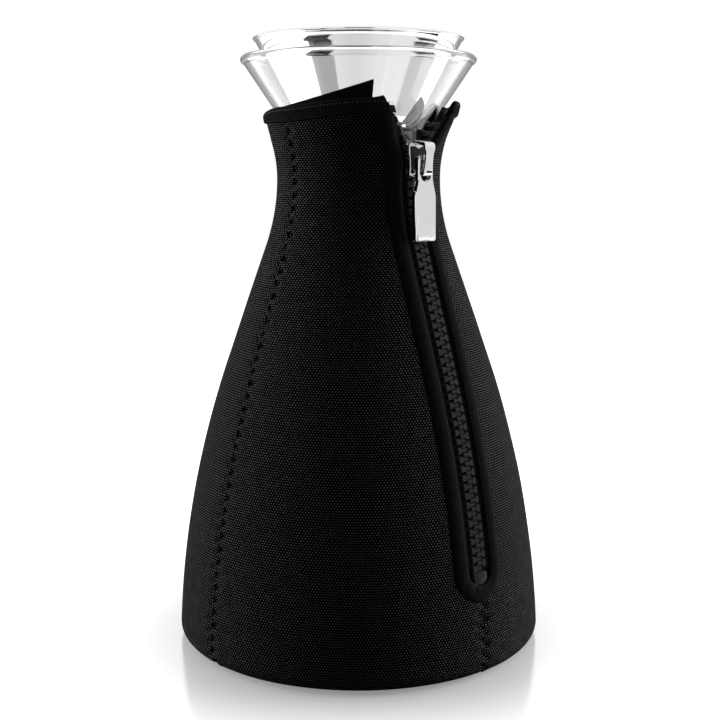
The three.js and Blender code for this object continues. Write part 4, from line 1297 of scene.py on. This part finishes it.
weltSet = {
    "proud": 1.25, "under": 0.55, "step": 0.9, "roundSteps": 40, "overSteps": 12, "rowWidth": 0.6,
    "tuck": 1.2, "crease": 0.1, "creaseMore": 2.2, "creaseDown": 6, "creaseReach": (2, 9),
    "creaseNoise": (1 / 1.6, 0.4, 1), "shoulder": 0.12, "shoulderPlace": (1.2, 2.8),
    "flatten": 0.85, "flattenPlace": (-1.2, 0.4),
}
weltThread = {
    "look": "sewingThread", "radius": 0.14, "sink": 0.2, "overlap": 0.25, "inset": 0.75, "sit": 0.62,
    "skip": 2,
}
weltTop = mouthPlace - clearance
weltHalf = zipShape["weltWidth"] / 2


# Stations down one side of the zip, round its end and up the other: (across, s, outward direction)
def findStations():
    radius = zipShape["slotHalf"] + weltHalf
    top = weltTop + weltSet["tuck"]
    count = round((top - slotEndPlace) / weltSet["step"])
    straight = [lerp(slotEndPlace, top, k / count) for k in range(count + 1)]
    stations = [((-radius - parting(-1, s), s), (-1, 0)) for s in reversed(straight)]
    for k in range(1, weltSet["roundSteps"]):
        turn = pi * (1 + k / weltSet["roundSteps"])
        out = (cos(turn), sin(turn))
        stations.append(((radius * out[0], slotEndPlace + radius * out[1]), out))
    return stations + [((radius + parting(1, s), s), (1, 0)) for s in straight]


weltStations = findStations()


def weltPoint(station, across, height):
    middle, out = weltStations[station]
    return zipPoint(middle[0] + across * out[0], middle[1] + across * out[1], height)


def makeWelt():
    w = weltSet
    turns = [k / w["overSteps"] * pi for k in range(w["overSteps"] + 1)]
    section = [(-cos(a) * weltHalf, sin(a) * w["proud"]) for a in turns]
    section += [(weltHalf * share, -w["under"]) for share in (1, 0.5, -0.5, -1)]
    rows = len(section)
    run = [0.0]
    for (a, _), (b, _) in zip(weltStations, weltStations[1:]):
        run.append(run[-1] + dist(a, b))

    def place(x, y):
        s = weltStations[x][0][1]
        across, height = section[y % rows]
        if height > 0:
            bent = 1 - smoothStep(abs(s - slotEndPlace + w["creaseDown"]), *w["creaseReach"])
            height += w["crease"] * (1 + w["creaseMore"] * bent) * wobble(run[x], across, w["creaseNoise"])
            height *= 1 - w["shoulder"] * smoothStep(abs(across), *w["shoulderPlace"])
            height *= 1 - w["flatten"] * smoothStep(s - weltTop, *w["flattenPlace"])
        return weltPoint(x, across, height), (run[x], y * w["rowWidth"])

    welt = drawCloth("welt_roll", len(weltStations) - 1, rows, place)
    closeEnds(welt)
    finishPiece(welt, carafeBody, "binding", "zip_welt", shade="welt", hidden=True)


def sewWelt():
    t = weltThread
    frames = []
    for x in range(t["skip"], len(weltStations) - t["skip"], t["skip"]):
        ends = [weltPoint(k, t["inset"] - weltHalf, weltSet["proud"] * t["sit"]) for k in (x, x + 1)]
        frames.append(stitchFrame(*ends, outAt(weltStations[x][0][1], 0)))
    sewRow("stitches_welt", weltSet["step"] + t["overlap"], t, frames, "binding")


makeWelt()
sewWelt()

stopPlace = slotEndPlace - zipShape["slotHalf"] + clearance
firstTooth = stopPlace + zipShape["stopLength"] + clearance + zipShape["bodyHalf"]
chainTop = collarEdge - zipShape["topStop"]
chainLow = -zipShape["depth"] - zipShape["toothHeight"] / 2
chainHigh = -zipShape["depth"] + zipShape["toothHeight"] / 2

# Half of a tooth's outline: (across, along), from its back to its head
toothHalf = [
    (3.3, 0.95), (3.12, 1.15), (1.95, 1.15), (1.72, 0.98), (1.3, 0.52), (0.75, 0.42), (0.25, 0.48),
    (-0.1, 0.76), (-0.5, 0.86), (-0.9, 0.72), (-1.08, 0.42), (-1.0, 0.1),
]
toothBevel = 0.22
tapeSet = {"from": 1.5, "to": 11.6, "thickness": 0.45, "step": 1.6, "columns": 8}
stopSet = {
    "half": 3.3, "curve": 2.6, "curveSteps": 8, "bevel": 0.35, "topBevel": 0.3, "topCut": (0.4, 0.5),
    "topNear": {-1: 2.9, 1: 1.75},
}
# How the zip's edges fold in above the slider, and the left one once more at its upper end
foldSet = {
    "turn": {-1: radians(55), 1: radians(30)}, "endTurn": {-1: radians(33), 1: 0},
    "hinge": 4.4, "start": 7, "full": 15,
}


# A flat outline in mm made into a block with bevelled edges
def makeBlock(name, points, low, high, bevel, segments=2):
    block = drawLoop(name, [(x, y, low) for x, y in points], filled=True)
    thicken(block, high - low)
    if bevel:
        bevelEdges(block, bevel, segments)
    return block


# A point of the zip on its flap. Above the slider the edge folds in towards the glass
def flapPoint(side, across, s, height):
    f = foldSet
    fold = f["turn"][side] * smoothStep(s, forkPlace + f["start"], forkPlace + f["full"])
    fold += f["endTurn"][side] * smoothStep(s, chainTop - f["start"], chainTop)
    reach = f["hinge"] - across
    if reach > 0:
        over = height + zipShape["depth"]
        across = f["hinge"] - reach * cos(fold) - over * sin(fold)
        height = -zipShape["depth"] - reach * sin(fold) + over * cos(fold)
    return zipPoint(side * (across + parting(side, s)), s, height)


# Points (across, along, height) in mm laid on the zip, following its flap
def layOnZip(obj, side):
    for vertex in obj.data.vertices:
        vertex.co = flapPoint(side, *vertex.co)
    tidyMesh(obj, gap=1e-7)


def makeTeeth(label, side):
    pitch = zipShape["pitch"]
    outline = toothHalf + [(x, -y) for x, y in reversed(toothHalf)]
    tooth = makeBlock("tooth", outline, chainLow, chainHigh, toothBevel, segments=1)
    start = firstTooth + (0 if side < 0 else pitch / 2)
    count = int((chainTop - zipShape["bodyHalf"] - start) / pitch) + 1
    seats = [Matrix.Translation((0, start + k * pitch, 0)) for k in range(count)]
    row = copyAlong(f"teeth_{label}", tooth, seats)
    layOnZip(row, side)
    finishPiece(row, carafeBody, "zip_plastic", f"zip_teeth_{label}", shade="edged", hidden=True)


def makeTape(label, side):
    t = tapeSet
    low, high = firstTooth - zipShape["bodyHalf"], chainTop
    rows = round((high - low) / t["step"])

    def place(x, y):
        across = lerp(t["from"], t["to"], x / t["columns"])
        s = lerp(low, high, y / rows)
        return flapPoint(side, across, s, -zipShape["depth"]), (across, s)

    tape = drawCloth(f"tape_{label}", t["columns"], rows, place)
    faceOut(tape)
    applyModifier(tape, "SOLIDIFY", thickness=t["thickness"] * mm, offset=0)
    finishPiece(tape, carafeBody, "zip_tape", f"zip_tape_{label}", shade="sheet", hidden=True)


def makeBottomStop():
    t = stopSet
    half = t["half"]
    high = stopPlace + zipShape["stopLength"]
    turns = [k / t["curveSteps"] * upright for k in range(t["curveSteps"] + 1)]
    curve = [(half * sin(a), stopPlace + t["curve"] * (1 - cos(a))) for a in turns]
    outline = curve + [(half, high), (-half, high)] + mirrored(curve[1:])
    stop = makeBlock("stop_bottom", outline, chainLow, chainHigh, t["bevel"])
    for vertex in stop.data.vertices:
        vertex.co = zipPoint(*vertex.co)
    finishPiece(stop, carafeBody, "zip_plastic", "zip_bottom_stop", shade="edged")


def makeTopStop(label, side):
    t = stopSet
    low, high = chainTop + clearance, chainTop + zipShape["topStop"]
    near, far = t["topNear"][side], t["half"]
    cut, down = t["topCut"]
    corners = [(near, low), (far, low), (far, high - down), (far - cut, high), (near, high)]
    stop = makeBlock(f"stop_top_{label}", corners, chainLow, chainHigh, t["topBevel"])
    layOnZip(stop, side)
    finishPiece(stop, carafeBody, "zip_plastic", f"zip_top_stop_{label}", shade="edged", hidden=True)


for zipLabel, zipSide in sides:
    makeTeeth(zipLabel, zipSide)
    makeTape(zipLabel, zipSide)
makeBottomStop()
for zipLabel, zipSide in sides:
    makeTopStop(zipLabel, zipSide)
print("zip ready")


# Slider and pull

# The slider's last two entries size and place a dark plate on its upper plate: painted shade and dark
# reflection under the bridge
sliderSet = {
    "plate": 0.8, "room": 0.6, "bevel": 0.22, "notch": 4.75, "overlap": 0.3, "flangeIn": 0.5,
    "flangeDrop": 1.1, "flangeBevel": 0.12, "wedgeBevel": 0.1, "paintedShadeSize": 0.84, "paintedShadePlate": (-0.1, 0.03),
}
bridgeSet = {
    "low": -5.4, "high": 7.0, "rise": 6.4, "sink": 0.4, "bar": 1.4, "top": 4.5, "waist": 3.3, "foot": 3.9,
    "narrow": (0.05, 0.5), "widen": (0.62, 0.85), "bevel": 0.4, "steps": 48,
    "outerCorners": (0.1, 2.0, 2.3, 0.1), "innerCorners": (0.1, 1.2, 1.3, 0.1),
}
# Half of the plates' outline: (across, along), from the lower end up
plateHalf = [
    (2.5, -6), (3.1, -5.75), (3.35, -5.1), (3.42, -2.6), (3.75, 0.2), (4.3, 2.2), (4.6, 3.8), (4.5, 5.0),
    (3.9, 5.85), (3.1, 6), (2.0, 5.6), (1.0, 5.1),
]
plateOutline = plateHalf + [(0, sliderSet["notch"])] + mirrored(plateHalf)
flangeEdge = plateHalf[2:5]
wedgeHalf = [(0.45, 3.4), (0.7, 4.2), (0.4, 4.9)]
wedgeOutline = [(0, 2.6)] + wedgeHalf + [(0, 5.1)] + mirrored(wedgeHalf)
plateFloor = zipShape["toothHeight"] / 2 + sliderSet["room"]
bridgeFoot = plateFloor + sliderSet["plate"]


def sliderMatrix():
    r, z, heading = onOutline(jacketFace, sliderPlace)
    depth = zipShape["depth"]
    runCurve = glassShape["neckCurve"] - jacketShape["offset"] + depth
    runLean = asin(zipShape["sliderRise"] / runCurve)
    lean = (runLean + upright - heading) / 2
    place = Vector((0, -(r - depth * sin(heading)), z + depth * cos(heading)))
    return Matrix.Translation(place * mm) @ Matrix.Rotation(upright + lean, 4, "X") @ Matrix.Scale(mm, 4)


# A ring between an outer and an inner loop with as many points, given some thickness along Z
def makeRing(name, outer, inner, thickness, bevel):
    first = drawLoop(name, [(x, y, -thickness / 2) for x, y in outer])
    second = drawLoop(name + "_eye", [(x, y, -thickness / 2) for x, y in inner])
    ring = joinAll(name, [first, second])
    bpy.context.tool_settings.mesh_select_mode = (False, True, False)
    editAll(ring)
    bpy.ops.mesh.bridge_edge_loops()
    leaveEdit()
    bpy.context.tool_settings.mesh_select_mode = (True, False, False)
    thicken(ring, thickness)
    bevelEdges(ring, bevel, segments=3)
    return ring


# Points spread evenly along a closed run of corners, each rounded by its own radius
def roundedLoop(corners, count):
    roundSteps = 4
    dense = []
    for i, (point, radius) in enumerate(corners):
        here = Vector(point)
        before = Vector(corners[i - 1][0])
        after = Vector(corners[(i + 1) % len(corners)][0])
        start = here + (before - here).normalized() * radius
        end = here + (after - here).normalized() * radius
        shares = [k / roundSteps for k in range(roundSteps + 1)]
        dense += [start.lerp(here, t).lerp(here.lerp(end, t), t) for t in shares]
    lengths = [0.0]
    for a, b in zip(dense, dense[1:] + dense[:1]):
        lengths.append(lengths[-1] + (b - a).length)
    points = []
    for k in range(count):
        goal = lengths[-1] * k / count
        i = max(n for n in range(len(dense)) if lengths[n] <= goal)
        span = lengths[i + 1] - lengths[i]
        share = (goal - lengths[i]) / span if span > 1e-9 else 0
        points.append(tuple(dense[i].lerp(dense[(i + 1) % len(dense)], share)))
    return points


# The slider's bridge: a frame in the plane of the zip's run, wide at its ends and narrow between
def makeBridge():
    b = bridgeSet
    top = bridgeFoot + b["rise"]

    def frameLoop(inset, root, radii):
        low, high, crown = b["low"] + inset, b["high"] - inset, top - inset
        corners = [(low, root), (low, crown), (high, crown), (high, root)]
        return roundedLoop(list(zip(corners, radii)), b["steps"])

    outer = frameLoop(0, bridgeFoot - b["sink"], b["outerCorners"])
    inner = frameLoop(b["bar"], bridgeFoot, b["innerCorners"])
    bridge = makeRing("bridge", outer, inner, b["top"], b["bevel"])
    for vertex in bridge.data.vertices:
        alongZip, rise, across = vertex.co
        share = (alongZip - b["low"]) / (b["high"] - b["low"])
        wide = lerp(b["foot"], b["waist"], smoothStep(share, *b["narrow"]))
        wide = lerp(wide, b["top"], smoothStep(share, *b["widen"]))
        vertex.co = (across * wide / b["top"], alongZip, rise)
    tidyMesh(bridge)
    return bridge


def makeSlider():
    s = sliderSet
    pieces = []
    for way in (-1, 1):
        low, high = sorted((way * plateFloor, way * bridgeFoot))
        pieces.append(makeBlock("plate", plateOutline, low, high, s["bevel"], segments=3))
        low, high = sorted((way * (plateFloor + s["overlap"]), way * (plateFloor - s["flangeDrop"])))
        for side in (-1, 1):
            strip = [(side * x, y) for x, y in flangeEdge]
            strip += [(side * (x - s["flangeIn"]), y) for x, y in reversed(flangeEdge)]
            pieces.append(makeBlock("flange", strip, low, high, s["flangeBevel"]))
    deep = plateFloor + s["overlap"]
    pieces.append(makeBlock("wedge", wedgeOutline, -deep, deep, s["wedgeBevel"]))
    slider = joinAll("slider_body", pieces + [makeBridge()])
    placeBy(slider, sliderMatrix())
    tidyMesh(slider, gap=1e-7)
    finishPiece(slider, "slider", "chrome", "zip_slider", shade="edged")
    # A dark plastic plate on the upper plate beside the bridge: painted shade and dark reflection where the
    # bridge shades the plate
    paintedShadeSize = [(x * s["paintedShadeSize"], y * s["paintedShadeSize"]) for x, y in plateOutline]
    paintedShadePlate = makeBlock("slider_painted_shade", paintedShadeSize, bridgeFoot + s["paintedShadePlate"][0], bridgeFoot + s["paintedShadePlate"][1], 0)
    placeBy(paintedShadePlate, sliderMatrix())
    finishPiece(paintedShadePlate, "slider", "zip_plastic")


pullSet = {
    "pivot": (0, -36.88, 185.938), "lean": 0.47, "length": 31, "top": 1.1, "width": 9.8, "neck": 6.8,
    "shoulder": -11, "shoulderHalf": 2.2, "thickness": 2, "bevel": 0.42, "eyeWidth": 5.0, "eyeLength": 7.5,
    "bar": 2.0, "footRound": 0.5, "shoulderRound": 1.4, "topRound": 1.2, "eyeRound": 0.6, "steps": 96,
}


def makePull():
    p = pullSet
    wide, neck, eye = p["width"] / 2, p["neck"] / 2, p["eyeWidth"] / 2
    eyeTop = p["top"] - p["bar"]
    right = [
        ((wide, p["top"] - p["length"]), p["footRound"]),
        ((wide, p["shoulder"] - p["shoulderHalf"]), p["shoulderRound"]),
        ((neck, p["shoulder"] + p["shoulderHalf"]), p["shoulderRound"]),
        ((neck, p["top"]), p["topRound"]),
    ]
    eyeRight = [((eye, eyeTop - p["eyeLength"]), eye), ((eye, eyeTop), p["eyeRound"])]
    loops = []
    for half in (right, eyeRight):
        whole = half + [((-x, y), radius) for (x, y), radius in reversed(half)]
        loops.append(roundedLoop(whole, p["steps"]))
    pull = makeRing("pull_plate", *loops, p["thickness"], p["bevel"])
    turn = Matrix.Rotation(upright - radians(p["lean"]), 4, "X")
    placeBy(pull, Matrix.Translation(Vector(p["pivot"]) * mm) @ turn @ Matrix.Scale(mm, 4))
    finishPiece(pull, "pull", "chrome", "zip_pull", shade="edged")


makeSlider()
makePull()
print("slider and pull ready")


# Filter and lid

filterSet = {
    "wall": 1.7, "flange": 2.4, "depth": 14, "length": 96, "ribs": 6, "ribWidth": 2.6, "ribInset": 0.1,
    "hoop": 3, "hoops": 3, "gauze": 0.5, "gauzeInset": 0.5, "gauzeColumns": 96, "gauzeRows": 24, "tuck": 4,
    "edge": 0.4, "cap": 3, "capRound": 1.2, "capEdge": 0.3, "capDip": 1, "plug": 3, "plugWall": 2,
}
frameRadius = spigotRadius - funnelShape["sheet"] - clearance
frameBore = frameRadius - filterSet["wall"]
frameTop = throatHeight + filterSet["flange"]
frameFoot = throatHeight - filterSet["depth"]
capTop = throatHeight - filterSet["length"] + filterSet["cap"]
cageFoot = capTop + clearance
cageTop = frameFoot - clearance
gauzeRadius = frameBore - filterSet["gauzeInset"]
hoopInner = gauzeRadius + clearance


def makeCollar():
    off = clearance / cos(funnelLean)
    flangeFoot = throatHeight + (off - clearance) / tan(funnelLean)
    flangeTop = spigotRadius + (frameTop - coneStart) * tan(funnelLean) - sheetAcross - off
    corners = [(frameBore, frameFoot), (frameRadius, frameFoot), (frameRadius, flangeFoot)]
    profile = cutCorners(corners + [(flangeTop, frameTop), (frameBore, frameTop)], filterSet["edge"])
    turnPiece("strainer_collar", profile, "plain", "filter", "nylon", "filter_collar", closed=True)


def makeCage():
    f = filterSet
    pieces = []
    for i in range(f["hoops"]):
        low = lerp(cageFoot, cageTop - f["hoop"], i / (f["hoops"] - 1))
        high = low + f["hoop"]
        corners = [(hoopInner, low), (frameRadius, low), (frameRadius, high), (hoopInner, high)]
        pieces.append(turnProfile("hoop", cutCorners(corners, f["edge"]), "plain", closed=True))
    outer = frameRadius - f["ribInset"]
    centre = ((outer + hoopInner) / 2, 0, (cageFoot + cageTop) / 2)
    size = (outer - hoopInner, f["ribWidth"], cageTop - cageFoot)
    for i in range(f["ribs"]):
        rib = makeBox("rib", centre, size, f["edge"], segments=2)
        placeBy(rib, Matrix.Rotation((i + 0.5) / f["ribs"] * fullTurn, 4, "Z"))
        pieces.append(rib)
    cage = joinAll("strainer_cage", pieces)
    finishPiece(cage, "filter", "nylon", "filter_cage", shade="edged")


def makeGauze():
    f = filterSet
    high = frameFoot + f["tuck"]
    middle = gauzeRadius - f["gauze"] / 2

    def place(x, y):
        turn = fullTurn * x / f["gauzeColumns"]
        height = lerp(cageFoot, high, y / f["gauzeRows"])
        point = Vector((middle * cos(turn), middle * sin(turn), height)) * mm
        return point, (turn * middle, height)

    tube = drawCloth("strainer_gauze", f["gauzeColumns"], f["gauzeRows"], place)
    tidyMesh(tube)
    applyModifier(tube, "SOLIDIFY", thickness=f["gauze"] * mm, offset=0)
    finishPiece(tube, "filter", "gauze", "filter_mesh", shade="edged")


def makeCap():
    f = filterSet
    edge, rim, big = f["edge"], f["capEdge"], f["capRound"]
    wide = frameRadius
    foot = capTop - f["cap"]
    plugTop = capTop + f["plug"]
    plug = gauzeRadius - f["gauze"] - clearance
    bore = plug - f["plugWall"]
    dip = capTop - f["capDip"]
    profile = [(0, foot), (wide - big, foot), (wide - edge, foot + edge), (wide, foot + big)]
    profile += [(wide, capTop - rim), (wide - rim, capTop), (plug, capTop), (plug, plugTop - edge)]
    profile += [(plug - edge, plugTop), (bore + edge, plugTop), (bore, plugTop - edge)]
    profile += [(bore, dip), (0, dip)]
    turnPiece("strainer_cap", profile, "plain", "filter", "nylon", "filter_end_cap")


lidSet = {
    "thickness": 1.2, "gap": 0.6, "edge": 0.4, "ledge": 4, "dome": 1.1, "domeSteps": 8, "drop": 1.8,
    "axle": 1, "axleDrop": 2.6, "axleCut": 0.25, "seat": 1, "boss": (26, 4.6), "bossFloor": 1.3,
    "bossBevel": 0.6, "stem": 1.5, "stemLength": 5, "stemBore": 0.02, "stemCut": 0.2, "weight": 5.5,
    "weightLength": 9, "weightRound": 1.5,
}


def makeLid():
    lid = lidSet
    edge = lid["edge"]
    top = frameTop - lid["drop"]
    under = top - lid["thickness"]
    radius = frameBore - lid["gap"]
    shares = [1 - k / lid["domeSteps"] for k in range(lid["domeSteps"] + 1)]
    dome = [((radius - lid["ledge"]) * share, top + lid["dome"] * (1 - share ** 2)) for share in shares]
    rim = [(radius - edge, under), (radius, under + edge), (radius, top - edge), (radius - edge, top)]
    turnPiece("lid_plate", [(0, under)] + rim + dome, "plain", "lid", "steel", "lid_disc")

    axleHeight = under - lid["axleDrop"]
    bossTop = under - clearance
    bossFoot = axleHeight - lid["axle"] - clearance - lid["bossFloor"]
    size = (*lid["boss"], bossTop - bossFoot)
    centre = (0, 0, (bossTop + bossFoot) / 2)
    boss = makeBox("lid_block", centre, size, lid["bossBevel"], segments=3)
    finishPiece(boss, "lid", "nylon", "lid_boss", shade="edged")

    half = frameBore + lid["seat"]
    cut = lid["axleCut"]
    end = [(0, -half), (lid["axle"] - cut, -half), (lid["axle"], cut - half)]
    axle = turnProfile("lid_pin", end + [(r, -z) for r, z in reversed(end)], "pin")
    placeBy(axle, Matrix.Translation((0, 0, axleHeight * mm)) @ Matrix.Rotation(upright, 4, "Y"))
    finishPiece(axle, "lid", "steel", "lid_axle")

    stemTop = bossFoot - clearance
    foot = stemTop - lid["stemLength"]
    stem, bore = lid["stem"], lid["stemBore"]
    corners = [(bore, foot), (stem, foot), (stem, stemTop), (bore, stemTop)]
    rod = cutCorners(corners, lid["stemCut"])
    turnPiece("lid_rod", rod, "pin", "lid", "steel", "lid_stem", closed=True)

    wide, big = lid["weight"], lid["weightRound"]
    high = foot - clearance
    low = high - lid["weightLength"]
    outline = [(0, low), (wide - big, low), (wide - edge, low + edge), (wide, low + big)]
    outline += [(r, high + low - z) for r, z in reversed(outline)]
    turnPiece("lid_weight", outline, "small", "lid", "steel", "lid_counterweight")


makeCollar()
makeCage()
makeGauze()
makeCap()
makeLid()
print("filter and lid ready")
